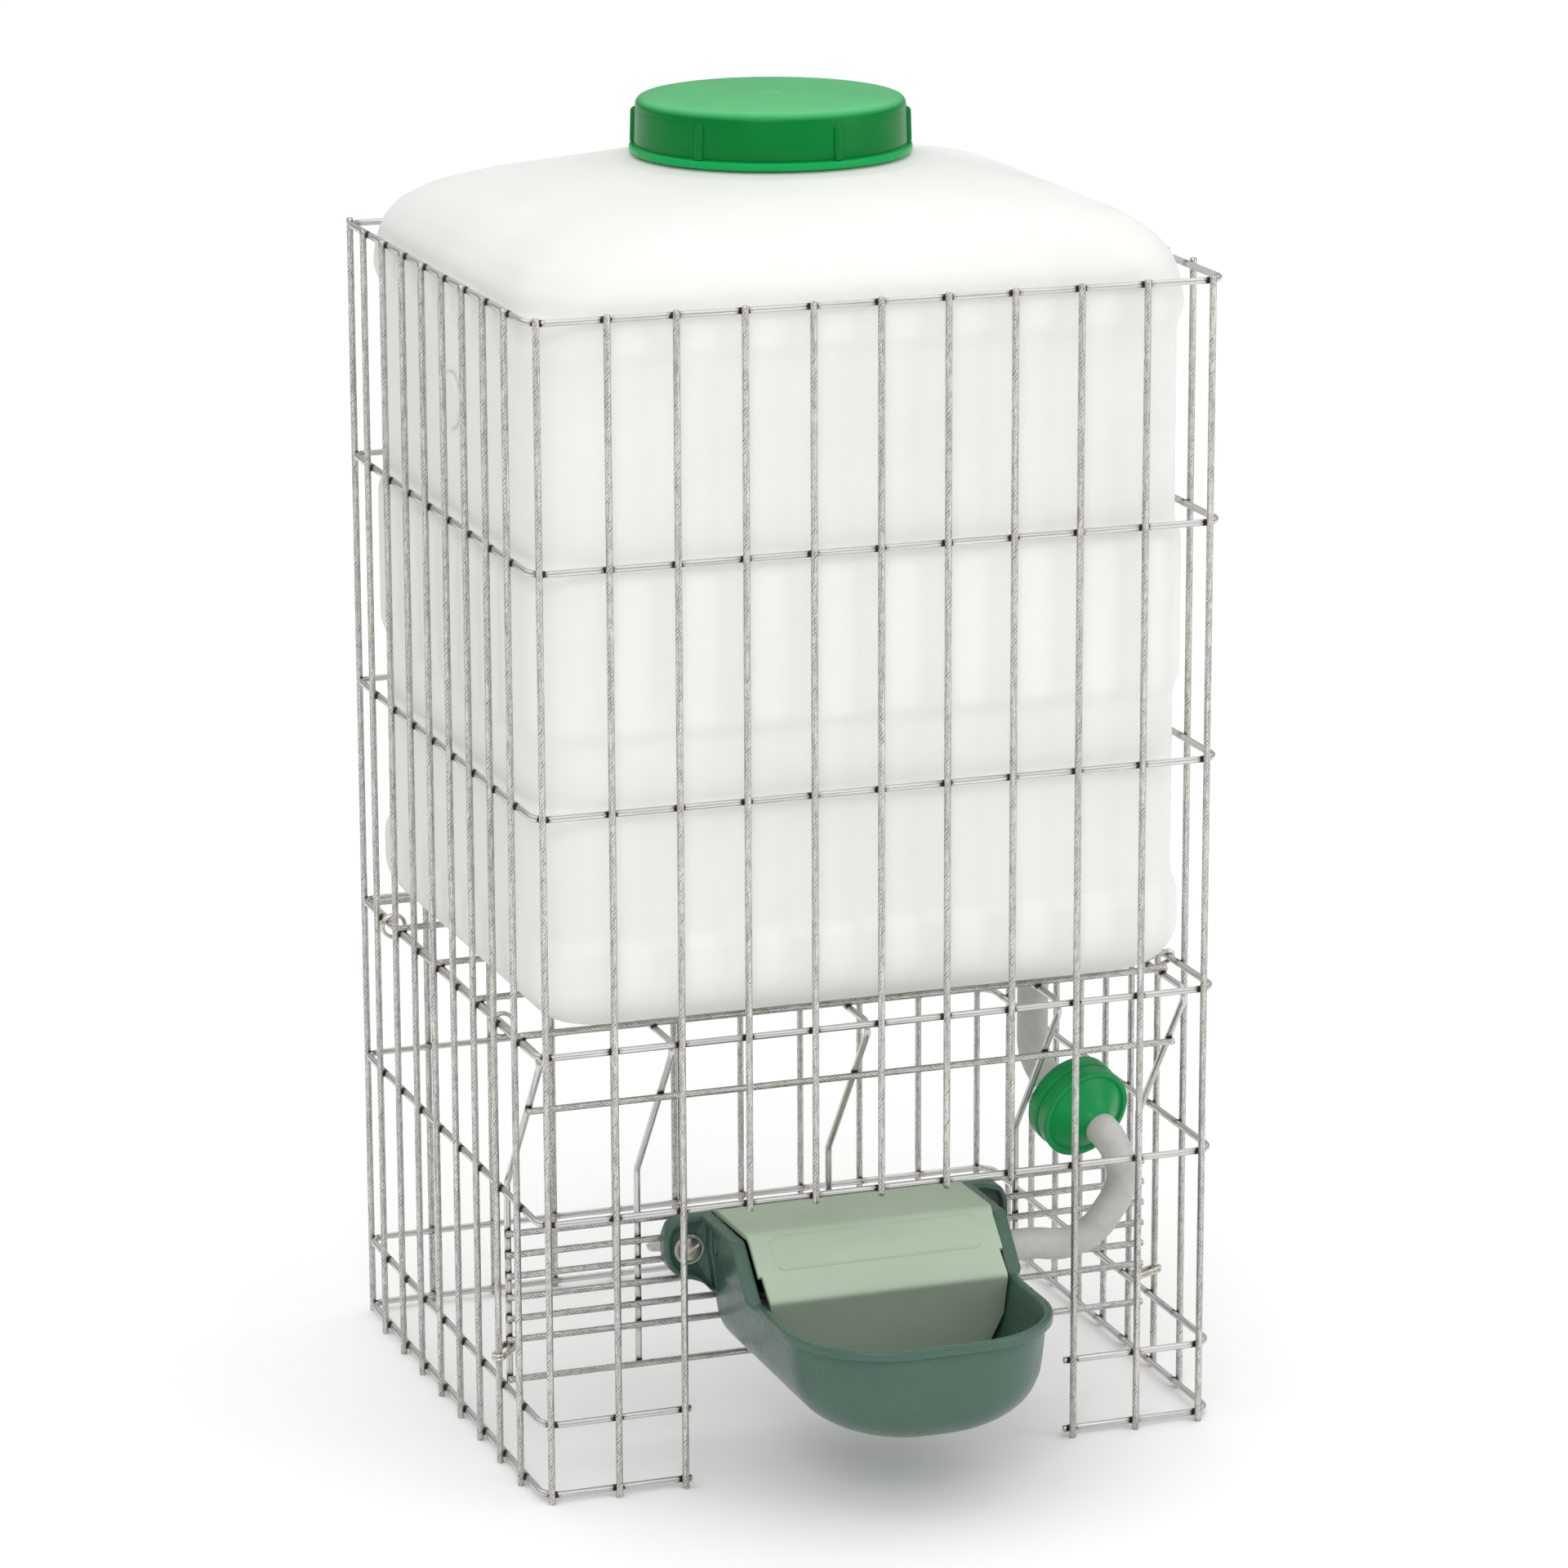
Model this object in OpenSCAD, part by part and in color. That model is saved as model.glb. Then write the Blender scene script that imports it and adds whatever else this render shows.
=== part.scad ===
// Poultry waterer fount: a water tank standing in a welded wire cage,
// feeding a float bowl through an inline filter and two hoses.
// Millimetres, +Z up, front of the bowl towards -Y.
// The origin is on the floor in the middle of the outline.

/* [Cage] */
// distance between the axes of the side wires of a hoop
cage_w = 309.4; // [290:1:340]
// distance between the axes of the front and rear wires of a hoop
cage_d = 269.2; // [255:1:300]
// cage wire diameter
wire_d = 3; // [2.6:0.1:3.4]
// axis radius of the bends at the hoop corners
corner_r = 8.5; // [7:0.5:10]
// depth by which two welded wires sink into each other
weld_bite = 0.2; // [0.1:0.05:0.3]
// height of the top hoop
top_z = 512.1; // [500:1:530]
// height of the hoop that holds the shelf
shelf_z = 199.1; // [195:0.5:204]
// height of the rail over the bowl opening
rail_z = 125.1; // [120:1:130]
// height of the lower hoop
lower_z = 35.3; // [30:1:40]
// height of the foot hoop
foot_z = 3.5; // [2.5:0.5:6]

/* [Panel] */
// sideways shift of everything that hangs inside the cage
inner_x = -2; // [-3:0.5:0]
// gap between an outer panel wire axis and the cage side axis, before the shift
panel_gap = 6.7; // [5.5:0.1:8]
// axis height difference between the shelf hoop and the long wires
panel_drop = 3.5; // [3:0.5:5]
// bend radius of the panel wires
panel_bend = 4; // [3:1:8]
// distance of the vertical part of the long wires behind the front of the hoops
carrier_depth = 64.1; // [61:0.5:67]
// height of the lower bend of the long wires
carrier_top = 124; // [120:1:130]
// distance of the upper front bend of the long wires behind the front of the hoops
front_gap = 10.6; // [9:0.1:13]
// play of a bolt between the cross wires that carry the bowl
bolt_play = 0.7; // [0.5:0.1:1.2]
// diameter of the wire of the clip rings
clip_d = 1.8; // [1.4:0.1:2.2]

/* [Tank] */
// clearance between the tank belts and the nearer side wires
tank_gap_w = 1.2; // [0.8:0.1:3]
// clearance between the tank belts and the cage wires, front to back
tank_gap_d = 2.8; // [2:0.1:6]
// wall thickness
tank_wall = 3; // [2.5:0.1:3.5]
// radius of the upright edges
tank_r = 30; // [26:1:34]
// depth of the recesses between the belts
recess = 3; // [2:0.5:4]
// height of the tank from the shelf to the collar
tank_h = 353.6; // [340:1:366]
// outer radius of the neck
neck_r = 53; // [52:1:58]
// height of the neck above the collar
neck_h = 17.5; // [16:0.5:20]
// distance of the outlet from the long wire on its inner side
outlet_gap_x = 15.2; // [14:0.2:18]
// distance of the outlet from the shelf wire behind it
outlet_gap_y = 15; // [14:0.5:18]

/* [Cap] */
// width of the flange at the foot of the cap
cap_flange = 2.5; // [1.5:0.5:4]
// thickness of the cap side
cap_wall = 4; // [3.5:0.5:6]
// number of grip ribs
cap_ribs = 6; // [4:1:10]
// turn of the first rib from the front
rib_turn = 9.6; // [0:0.2:20]

/* [Hose and filter] */
// outer diameter of both hoses
hose_d = 14; // [13:0.5:14.5]
// bore of both hoses
hose_bore = 10; // [9.5:0.1:10.5]
// radius of the filter
filter_r = 21.5; // [18:0.5:22]
// width of the filter band
filter_band = 15; // [14:0.5:17]
// length of each filter cone
filter_cone = 11; // [10:0.5:12]

/* [Bowl] */
// half width of the bowl at the rim
bowl_half = 60; // [59:0.5:62]
// reach of the bowl in front of its back plane
bowl_reach = 149; // [146:1:156]
// height of the rim
rim_z = 82; // [81:0.5:83]
// height of the cheeks and of the back
cheek_z = 104; // [103:0.5:106]
// wall thickness
bowl_wall = 2.6; // [2.2:0.1:3]
// distance of each bolt outside the cheek of the bowl
bolt_gap = 8; // [7.5:0.1:10]
// bolt diameter
bolt_d = 6; // [5:0.1:6.2]

/* [Valve and float] */
// distance of the valve axis from the back plane of the bowl
valve_depth = 25; // [24:0.5:28]
// height of the valve axis
valve_z = 79; // [78.5:0.25:80]
// radius of the valve stem
stem_r = 6; // [5.5:0.1:6.5]
// radius of the plunger
plunger_r = 3; // [2.6:0.1:3.4]
// height of the plunger axis over the pivot pin
lever = 9; // [8.5:0.1:10]
// radius of the pivot pin
pin_r = 1.5; // [1.3:0.1:1.8]
// running clearance on radius
run = 0.05; // [0.03:0.01:0.08]

/* [Hidden] */
$fn = 64;
// points per quarter corner in the lofted shapes
n_corner = 8;
// small overlap used to join shapes
eps = 0.5;
// loose clearance between parts that must not touch
loose = 0.3;
// how far straight rods run into their bends, and the step in radius there
lap = 0.4;
lap_step = 0.04;
hw = cage_w / 2;
hd = cage_d / 2;
wr = wire_d / 2;
off = wire_d - weld_bite;
carrier_y = -hd + carrier_depth;
shelf_front = -hd + front_gap;
carrier_step = wire_d + bolt_d + bolt_play;
upper_z = shelf_z + (top_z - shelf_z) * 0.665;
middle_z = shelf_z + (top_z - shelf_z) * 0.331;
front_pitch = (cage_w - 9.4) / 10;
side_pitch = (cage_d - 59.2) / 7;
front_x0 = -5 * front_pitch - 1.9;
side_left_y0 = hd - 33.8;
side_right_y0 = -hd + 40.8;
rear_pitch = (hw - 4.7) / 5;
rear_right_x0 = 5 * rear_pitch - 0.7;
rear_left_x0 = -5 * rear_pitch - 4;
seam_x = -2.35;
seam_gap = 0.5;
upright_top = top_z + wr + 1;
opening_tip = rail_z - wr - 2;
bay_left = front_x0 + 2 * front_pitch + wr + 2;
bay_right = front_x0 + 8 * front_pitch - wr - 2;

panel_half = hw - panel_gap;
panel_mid = panel_half * 0.6;
panel_x = [-panel_half, -panel_mid, 0, panel_mid, panel_half];
long_z = shelf_z - panel_drop;
cross_z = long_z + off;
shelf_top = cross_z + wr;
panel_rear = hd - 3.6;
cross_end = panel_half + 1.6;
shelf_ys = [shelf_front + 27, shelf_front + 87, shelf_front + 147, shelf_front + 207, panel_rear - 2];
carrier_axis = carrier_y - off;
carrier_front = carrier_axis - wr;
carrier_low = lower_z - 2;
carrier_z0 = 102;
slant_dy = carrier_y - shelf_front;
slant_dz = carrier_top - long_z;
slant_len = norm([slant_dy, slant_dz]);
slant_at = 33;
clip_reach = wr + 0.2 + clip_d / 2;

tank_x = inner_x;
outlet_x = panel_mid + outlet_gap_x;
outlet_y = shelf_ys[1] - outlet_gap_y;
ta = hw - wr - abs(inner_x) - tank_gap_w;
tb = hd - wr - tank_gap_d;
tank_z = shelf_top + loose;
foot_step = 3;
t0 = tank_z + foot_step;
foot_round = 26;
// the plates and belts are placed from the tank bottom and scaled with its height
th = tank_h / 353.6;
collar_z = tank_z + tank_h;
neck_bore = neck_r - 3.5;
collar_r = neck_r + 5.5;
neck_top = collar_z + 1.8 + neck_h;
gasket_h = 2;
cap_under = neck_top + gasket_h + 0.1;
cap_foot = collar_z + 2.5;
cap_flange_h = 3;
cap_edge = cap_under + 4.9;
cap_bore = neck_r + 2;
cap_r = cap_bore + cap_wall;
cap_flange_r = cap_r + cap_flange;
spigot_low = 176 - 199.1 + shelf_z;
hose_top = 194 - 199.1 + shelf_z;

filter_dir = [0.193, -0.93755, -0.2894];
filter_tilt = acos(filter_dir[2]);
filter_turn = atan2(filter_dir[1], filter_dir[0]);
inlet = filter_band + filter_cone;
spigot_r = hose_bore / 2 - 0.1;
hose_in = [tank_x + outlet_x, outlet_y, hose_top];
// the filter hangs in front of the bend of the upper hose
bend_point = [tank_x + outlet_x, outlet_y, 147.4 - 199.1 + shelf_z];
bend_len = 20;
filter_at = bend_point + (bend_len + inlet) * filter_dir;
filter_out = filter_at + filter_cone * filter_dir;
hose_bend_r = 16;

back_y = carrier_front - 0.1;
bolt_z = carrier_z0 - 1.5 * carrier_step;
valve_y = back_y - valve_depth;
boss_r = 11;
boss_in = bowl_half - 7;
boss_out = bowl_half + 1.5;
pivot_x = 20;
pivot_z = valve_z - lever;
stem_end = pivot_x + 7;
plunger_tip = pivot_x + 2;
plunger_stroke = 2.1;
seal_end = pivot_x + 22.6;
seat_x = seal_end + plunger_stroke + loose;
nipple_x = boss_out + 2.5;
hose_low_x = inner_x + nipple_x + 0.5;
hose_low = [
    filter_out,
    filter_out + 11.5 * filter_dir,
    [filter_out[0] + 11.5, filter_out[1] - 3.4, valve_z + 26.4],
    [inner_x + bowl_half + 48.7, valve_y - 2.3, valve_z - 4],
    [inner_x + bowl_half + 27, valve_y, valve_z],
    [hose_low_x, valve_y, valve_z]
];
hose_low_r = [9.5, 24, 24, 40];
bolt_half = bowl_half + bolt_gap;
ear_r = bolt_gap + 5.2;
ear_depth = 8.5;
washer_h = 1.2;
head_h = 2.8;

cover_half = bowl_half - 3.8;
cover_wall = 2.5;
cover_top = cheek_z + 0.2;
shield_y = back_y - 71;
slot_y = back_y - 11;

rear_reach = hd + off + wr;
front_reach = -back_y + bowl_reach;
y_home = (front_reach - rear_reach) / 2;

// moves the cage frame so that the origin is in the middle of the outline
module home() {
    translate([0, y_home, 0]) children();
}

function unit(v) = v / norm(v);

// bend angle, tangent length and centre for a rounded corner of a path
function turn_at(p, i) = acos(max(-1, min(1, unit(p[i] - p[i - 1]) * unit(p[i + 1] - p[i]))));
function cut_at(p, r, i) = (i == 0 || i == len(p) - 1) ? 0 : r[i - 1] * tan(turn_at(p, i) / 2);

// straight rod from a to b
module rod(a, b, d) {
    v = b - a;
    l = norm(v);
    translate(a)
        rotate([0, acos(v[2] / l), atan2(v[1], v[0])])
            cylinder(d = d, h = l);
}

// puts a bend at corner i of the path p: local x points out of the bend, local y along the run
module at_bend(p, r, i) {
    s = unit(p[i] - p[i - 1]);
    q = unit(p[i + 1] - p[i]);
    c = p[i] + unit(q - s) * r[i - 1] / cos(turn_at(p, i) / 2);
    u = unit(p[i] - s * cut_at(p, r, i) - c);
    w = cross(u, s);
    multmatrix([
        [u[0], s[0], w[0], c[0]],
        [u[1], s[1], w[1], c[1]],
        [u[2], s[2], w[2], c[2]]
    ])
        rotate_extrude(angle = turn_at(p, i))
            translate([r[i - 1], 0]) children();
}

// ends of straight length i of the path p, which runs a little way into the bends beside it
function run_from(p, r, i) = let (s = unit(p[i + 1] - p[i])) p[i] + s * (i == 0 ? 0 : cut_at(p, r, i) - lap);
function run_to(p, r, i) = let (s = unit(p[i + 1] - p[i]))
    p[i + 1] - s * (i == len(p) - 2 ? 0 : cut_at(p, r, i + 1) - lap);

// rod bent along the path p with bend radii r; the bends are a hair thicker
module run_rod(p, r, d) {
    for (i = [0 : len(p) - 2])
        rod(run_from(p, r, i), run_to(p, r, i), d);
    for (i = [1 : len(p) - 2])
        at_bend(p, r, i) circle(d = d + 2 * lap_step);
}

// hose along the path p with bend radii r
module hose(p, r) {
    for (i = [0 : len(p) - 2]) {
        a = run_from(p, r, i);
        v = run_to(p, r, i) - a;
        translate(a)
            rotate([0, acos(v[2] / norm(v)), atan2(v[1], v[0])])
                rotate([0, 0, 90])
                    tube(hose_d / 2, hose_bore / 2, 0, norm(v));
    }
    for (i = [1 : len(p) - 2])
        at_bend(p, r, i)
            difference() {
                circle(d = hose_d + 2 * lap_step);
                circle(d = hose_bore - 2 * lap_step);
            }
}

// wire hoop at height z, open at the rear seam and, if asked, at the front
module hoop(z, front_open) {
    a = hw - corner_r;
    b = hd - corner_r;
    translate([0, 0, z]) {
        for (s = [-1, 1]) {
            rod([s * hw, -b, 0], [s * hw, b, 0], wire_d);
            for (t = [-1, 1])
                translate([s * a, t * b, 0])
                    rotate([0, 0, s > 0 ? (t > 0 ? 0 : -90) : (t > 0 ? 90 : 180)])
                        rotate_extrude(angle = 90)
                            translate([corner_r, 0])
                                circle(d = wire_d);
        }
        rod([-a, hd, 0], [seam_x - seam_gap / 2, hd, 0], wire_d);
        rod([seam_x + seam_gap / 2, hd, 0], [a, hd, 0], wire_d);
        if (front_open) {
            rod([-a, -hd, 0], [bay_left, -hd, 0], wire_d);
            rod([bay_right, -hd, 0], [a, -hd, 0], wire_d);
        } else {
            rod([-a, -hd, 0], [a, -hd, 0], wire_d);
        }
    }
}

// how far out an upright stands so that it touches the hoops, also on a bend
function stand_off(x) = let (e = abs(x) - (hw - corner_r), r = corner_r + off)
    e <= 0 ? hd + off : hd - corner_r + sqrt(max(0, r * r - e * e));

module upright(x, y, z0) {
    rod([x, y, z0], [x, y, upright_top], wire_d);
}

// link of an oval clip ring round two parallel wires at p and q, in the XY plane
module clip_link(p, q) {
    v = q - p;
    turn = atan2(v[1], v[0]);
    l = norm(v);
    translate([p[0], p[1], 0])
        rotate([0, 0, turn]) {
            rotate([0, 0, 90])
                rotate_extrude(angle = 180)
                    translate([clip_reach, 0])
                        circle(d = clip_d);
            translate([l, 0, 0])
                rotate([0, 0, -90])
                    rotate_extrude(angle = 180)
                        translate([clip_reach, 0])
                            circle(d = clip_d);
            for (s = [-1, 1])
                rod([0, s * clip_reach, 0], [l, s * clip_reach, 0], clip_d);
        }
}

// closed outlines and lofts
function arc2(cx, cy, r, a0, a1) =
    [for (i = [0 : n_corner]) let (a = a0 + (a1 - a0) * i / n_corner) [cx + r * cos(a), cy + r * sin(a)]];
function rrect(a, b, r) = concat(
    arc2(a - r, b - r, r, 0, 90),
    arc2(-(a - r), b - r, r, 90, 180),
    arc2(-(a - r), -(b - r), r, 180, 270),
    arc2(a - r, -(b - r), r, 270, 360)
);
function dshape(a, f, g, rb, rf) = concat(
    arc2(a - rb, -g - rb, rb, 0, 90),
    arc2(-(a - rb), -g - rb, rb, 90, 180),
    arc2(-(a - rf), -f + rf, rf, 180, 270),
    arc2(a - rf, -f + rf, rf, 270, 360)
);
function lift(ring, z) = [for (p = ring) [p[0], p[1], z]];

module loft(rings) {
    n = len(rings[0]);
    m = len(rings);
    points = [for (r = rings) each r];
    low = [[for (i = [0 : n - 1]) i]];
    high = [[for (i = [0 : n - 1]) (m - 1) * n + n - 1 - i]];
    sides = [
        for (j = [0 : m - 2], i = [0 : n - 1], k = [0, 1])
            let (i2 = (i + 1) % n, a = j * n + i, b = (j + 1) * n + i, c = (j + 1) * n + i2, d = j * n + i2)
                k == 0 ? [a, b, c] : [a, c, d]
    ];
    polyhedron(points = points, faces = concat(low, sides, high));
}

// tank profile rows: height over the tank bottom, inset from the belt, edge radius
belt_rows = [
    [foot_step, foot_round, 12],
    [foot_step + foot_round * (1 - cos(18)), foot_round * (1 - sin(18)), 14],
    [foot_step + foot_round * (1 - cos(36)), foot_round * (1 - sin(36)), 18],
    [foot_step + foot_round * (1 - cos(54)), foot_round * (1 - sin(54)), 23],
    [foot_step + foot_round * (1 - cos(72)), foot_round * (1 - sin(72)), tank_r - 2],
    [foot_step + foot_round, 0, tank_r],
    [41 * th, 0, tank_r],
    [46 * th, recess, tank_r - recess],
    [130 * th, recess, tank_r - recess],
    [136 * th, 0, tank_r],
    [198 * th, 0, tank_r],
    [204 * th, recess, tank_r - recess],
    [290 * th, recess, tank_r - recess],
    [296.5 * th, 0, tank_r]
];
// dome rows: share of the tank height, share of the way from belt to collar, edge radius
dome_share = [0.848, 0.876, 0.904, 0.927, 0.947, 0.961, 0.972, 0.983, 0.992, 1];
dome_in_a = [0, 0.011, 0.045, 0.111, 0.229, 0.392, 0.578, 0.759, 0.904, 1];
dome_in_b = [0, 0.013, 0.047, 0.115, 0.226, 0.368, 0.55, 0.731, 0.889, 1];
dome_round = [0, 0.03, 0.06, 0.14, 0.3, 0.54, 0.79, 0.99, 1, 1];
dome_r = neck_r + 14;
function row_size(row) = [row[0], ta - row[1], tb - row[1], row[2]];
function dome_size(i) = let (a = ta + (dome_r - ta) * dome_in_a[i], b = tb + (dome_r - tb) * dome_in_b[i])
    [tank_h * dome_share[i], a, b, min(tank_r + (dome_r - tank_r) * dome_round[i], min(a, b) - 0.05)];
tank_rows = concat(
    [for (r = belt_rows) row_size(r)],
    [for (i = [0 : len(dome_share) - 1]) dome_size(i)]
);
// each row moved inwards by the wall, square to the profile
function inner_row(i) = let (
    p = tank_rows[max(i - 1, 0)],
    q = tank_rows[min(i + 1, len(tank_rows) - 1)],
    c = tank_rows[i],
    da = q[1] - p[1],
    dz = q[0] - p[0],
    l = norm([da, dz]),
    w = tank_wall * dz / l
) [c[0] + tank_wall * da / l, c[1] - w, c[2] - w, min(max(c[3] - w, 6), min(c[1], c[2]) - w - 0.05)];
function tank_ring(row) = lift(rrect(row[1], row[2], row[3]), tank_z + row[0]);

// bowl profile rows: height, half width, front reach, back inset, front radius
bowl_base = 35;
bowl_rows = [
    [bowl_base, bowl_half - 40, bowl_reach - 28, 16, 17],
    [bowl_base + 0.8, bowl_half - 32, bowl_reach - 21, 11.5, 23.5],
    [bowl_base + 2.5, bowl_half - 25.5, bowl_reach - 16, 8, 29],
    [bowl_base + 5.4, bowl_half - 19, bowl_reach - 11, 4.5, 34],
    [bowl_base + 9.3, bowl_half - 13, bowl_reach - 7, 2, 38],
    [bowl_base + 14.2, bowl_half - 8.5, bowl_reach - 4.2, 0.4, 41],
    [bowl_base + 21, bowl_half - 5.1, bowl_reach - 2.9, 0, 43],
    [bowl_base + 29.3, bowl_half - 3.8, bowl_reach - 2.5, 0, 44],
    [rim_z - 5, bowl_half - 2.4, bowl_reach - 2.2, 0, 44.5],
    [rim_z - 3.5, bowl_half, bowl_reach, 0, 45],
    [cheek_z, bowl_half, bowl_reach, 0, 45]
];
bowl_in_rows = [
    [cheek_z, bowl_half - bowl_wall, bowl_reach - 4, 3, 42],
    [rim_z, bowl_half - 3.4, bowl_reach - 4, 3, 42],
    [rim_z - 5, bowl_half - 5, bowl_reach - 4.8, 3, 42],
    [bowl_base + 29.5, bowl_half - 6.6, bowl_reach - 5.4, 3, 41.2],
    [bowl_base + 21.5, bowl_half - 8.1, bowl_reach - 5.8, 3.2, 40],
    [bowl_base + 15.2, bowl_half - 11.3, bowl_reach - 7.2, 3.8, 38],
    [bowl_base + 10.6, bowl_half - 15.5, bowl_reach - 10, 5.4, 35],
    [bowl_base + 7, bowl_half - 20.8, bowl_reach - 13.8, 8, 31],
    [bowl_base + 4.4, bowl_half - 27, bowl_reach - 18.6, 11.6, 26.5],
    [bowl_base + 3, bowl_half - 33.5, bowl_reach - 23.8, 15, 21],
    [bowl_base + 2.6, bowl_half - 41, bowl_reach - 30, 19.5, 15]
];
bowl_corner = 5;
function bowl_ring(row, rb) = lift(dshape(row[1], row[2], row[3], rb, row[4]), row[0]);

module at_bowl() {
    translate([inner_x, back_y, 0]) children();
}

// extrudes an outline drawn in (y, z) along x, from x0 to x1
module side_plate(x0, x1) {
    translate([x0, 0, 0])
        rotate([90, 0, 90])
            linear_extrude(height = x1 - x0) children();
}

module at_filter() {
    translate(filter_at)
        rotate([0, filter_tilt, filter_turn]) children();
}

// runs along +x from the point at the valve axis
module at_valve() {
    translate([inner_x, valve_y, valve_z])
        rotate([0, 90, 0]) children();
}

// tube along the local axis
module tube(r1, r0, z0, z1) {
    rotate_extrude()
        translate([r0, z0])
            square([r1 - r0, z1 - z0]);
}

// runs along -y, forwards, from the back plane of the bowl at a bolt
module at_bolt(s) {
    translate([inner_x + s * bolt_half, back_y, bolt_z])
        rotate([90, 0, 0]) children();
}

module hoop_top() {
    color("silver") home() hoop(top_z, false);
}

module hoop_upper() {
    color("silver") home() hoop(upper_z, false);
}

module hoop_middle() {
    color("silver") home() hoop(middle_z, false);
}

module hoop_shelf() {
    color("silver") home() hoop(shelf_z, false);
}

module hoop_rail() {
    color("silver") home() hoop(rail_z, false);
}

module hoop_lower() {
    color("silver") home() hoop(lower_z, true);
}

module hoop_foot() {
    color("silver") home() hoop(foot_z, true);
}

module uprights_front() {
    color("gray") home()
        for (i = [0 : 10]) {
            x = front_x0 + i * front_pitch;
            upright(x, -stand_off(x), (i > 2 && i < 8) ? opening_tip : 0);
        }
}

module uprights_left() {
    color("gray") home()
        for (i = [0 : 7])
            upright(-hw - off, side_left_y0 - i * side_pitch, 0);
}

module uprights_right() {
    color("gray") home()
        for (i = [0 : 7])
            upright(hw + off, side_right_y0 + i * side_pitch, 0);
}

module uprights_rear() {
    color("gray") home()
        for (i = [0 : 5]) {
            xr = rear_right_x0 - i * rear_pitch;
            xl = rear_left_x0 + i * rear_pitch;
            upright(xr, stand_off(xr), 0);
            upright(xl, stand_off(xl), 0);
        }
}

module panel_long_wires() {
    color("silver") home()
        for (x = panel_x)
            run_rod([
                [inner_x + x, panel_rear, long_z],
                [inner_x + x, shelf_front, long_z],
                [inner_x + x, carrier_y, carrier_top],
                [inner_x + x, carrier_y, carrier_low]
            ], [panel_bend, panel_bend], wire_d);
}

module panel_shelf_wires() {
    color("gray") home()
        for (y = shelf_ys)
            rod([inner_x - cross_end, y, cross_z], [inner_x + cross_end, y, cross_z], wire_d);
}

module panel_carrier_wires() {
    sy = shelf_front + slant_dy * slant_at / slant_len + off * slant_dz / slant_len;
    sz = long_z + slant_dz * slant_at / slant_len - off * slant_dy / slant_len;
    color("gray") home() {
        rod([inner_x - cross_end, sy, sz], [inner_x + cross_end, sy, sz], wire_d);
        for (i = [0 : 5])
            rod([inner_x - cross_end, carrier_axis, carrier_z0 - i * carrier_step],
                [inner_x + cross_end, carrier_axis, carrier_z0 - i * carrier_step], wire_d);
        rod([inner_x - cross_end, carrier_axis, carrier_low + 2],
            [inner_x + cross_end, carrier_axis, carrier_low + 2], wire_d);
    }
}

module clip_rings() {
    clip_z = bolt_z - 38;
    color("silver") home() {
        for (y = [side_left_y0 - 5.85 * side_pitch, side_left_y0 - 0.3 * side_pitch])
            translate([0, y, 0])
                rotate([90, 0, 0])
                    clip_link([-hw, shelf_z], [inner_x - panel_half, long_z]);
        for (y = [side_right_y0 + 0.43 * side_pitch, side_right_y0 + 6.4 * side_pitch])
            translate([0, y, 0])
                rotate([90, 0, 0])
                    clip_link([hw, shelf_z], [inner_x + panel_half, long_z]);
        translate([0, 0, clip_z])
            clip_link([-hw - off, side_left_y0 - 6 * side_pitch], [inner_x - panel_half, carrier_y]);
        translate([0, 0, clip_z - 2.5])
            clip_link([hw + off, side_right_y0 + side_pitch], [inner_x + panel_half, carrier_y]);
    }
}

module tank_shell() {
    last = len(tank_rows) - 1;
    plateau = 78;
    color("white") home() difference() {
        union() {
            translate([tank_x, 0, 0])
                loft(concat(
                    [
                        lift(rrect(plateau, plateau - 6, 30), tank_z),
                        lift(rrect(plateau + 4, plateau - 2, 32), tank_z + foot_step)
                    ],
                    [for (i = [0 : last]) tank_ring(tank_rows[i])],
                    [for (i = [last : -1 : 0]) tank_ring(inner_row(i))]
                ));
            translate([tank_x, 0, collar_z])
                rotate_extrude()
                    polygon([
                        [neck_bore, 0.4 - tank_wall], [dome_r + 1.5, 0.4 - tank_wall],
                        [dome_r + 1.5, -1], [dome_r - 1, -0.3], [collar_r, 1.8], [neck_r, 1.8],
                        [neck_r, 7], [neck_r + 1.2, 8], [neck_r + 1.2, 9.5], [neck_r, 10.5],
                        [neck_r, 1.8 + neck_h], [neck_bore, 1.8 + neck_h]
                    ]);
            // round lug on the left face, in the upper recess
            translate([tank_x - ta + recess + tank_wall - 1, -5, tank_z + 257 * th])
                rotate([0, -90, 0])
                    cylinder(r = 12, h = tank_wall + 0.8);
        }
        translate([tank_x + outlet_x, outlet_y, tank_z - eps])
            cylinder(r = 7.15, h = foot_step + tank_wall + 3);
    }
}

module tank_outlet() {
    floor_in = t0 + tank_wall;
    color("dimgray") home()
        translate([tank_x + outlet_x, outlet_y, 0])
            difference() {
                union() {
                    translate([0, 0, floor_in + 1.6]) cylinder(r = 12, h = 3);
                    translate([0, 0, t0 - 8]) cylinder(r = 7, h = tank_wall + 10);
                    translate([0, 0, spigot_low]) cylinder(r = hose_bore / 2 - run, h = t0 - spigot_low);
                }
                translate([0, 0, spigot_low - 1]) cylinder(r = 3.2, h = 60);
            }
}

module tank_outlet_seal() {
    color("black") home()
        translate([tank_x + outlet_x, outlet_y, t0 + tank_wall + 0.1])
            tube(11, 7.2, 0, 1.4);
}

module tank_outlet_nut() {
    color("dimgray") home()
        translate([tank_x + outlet_x, outlet_y, t0 - 6.1])
            difference() {
                cylinder(d = 22.5, h = 6, $fn = 6);
                translate([0, 0, -1]) cylinder(r = 7.1, h = 8);
            }
}

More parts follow.
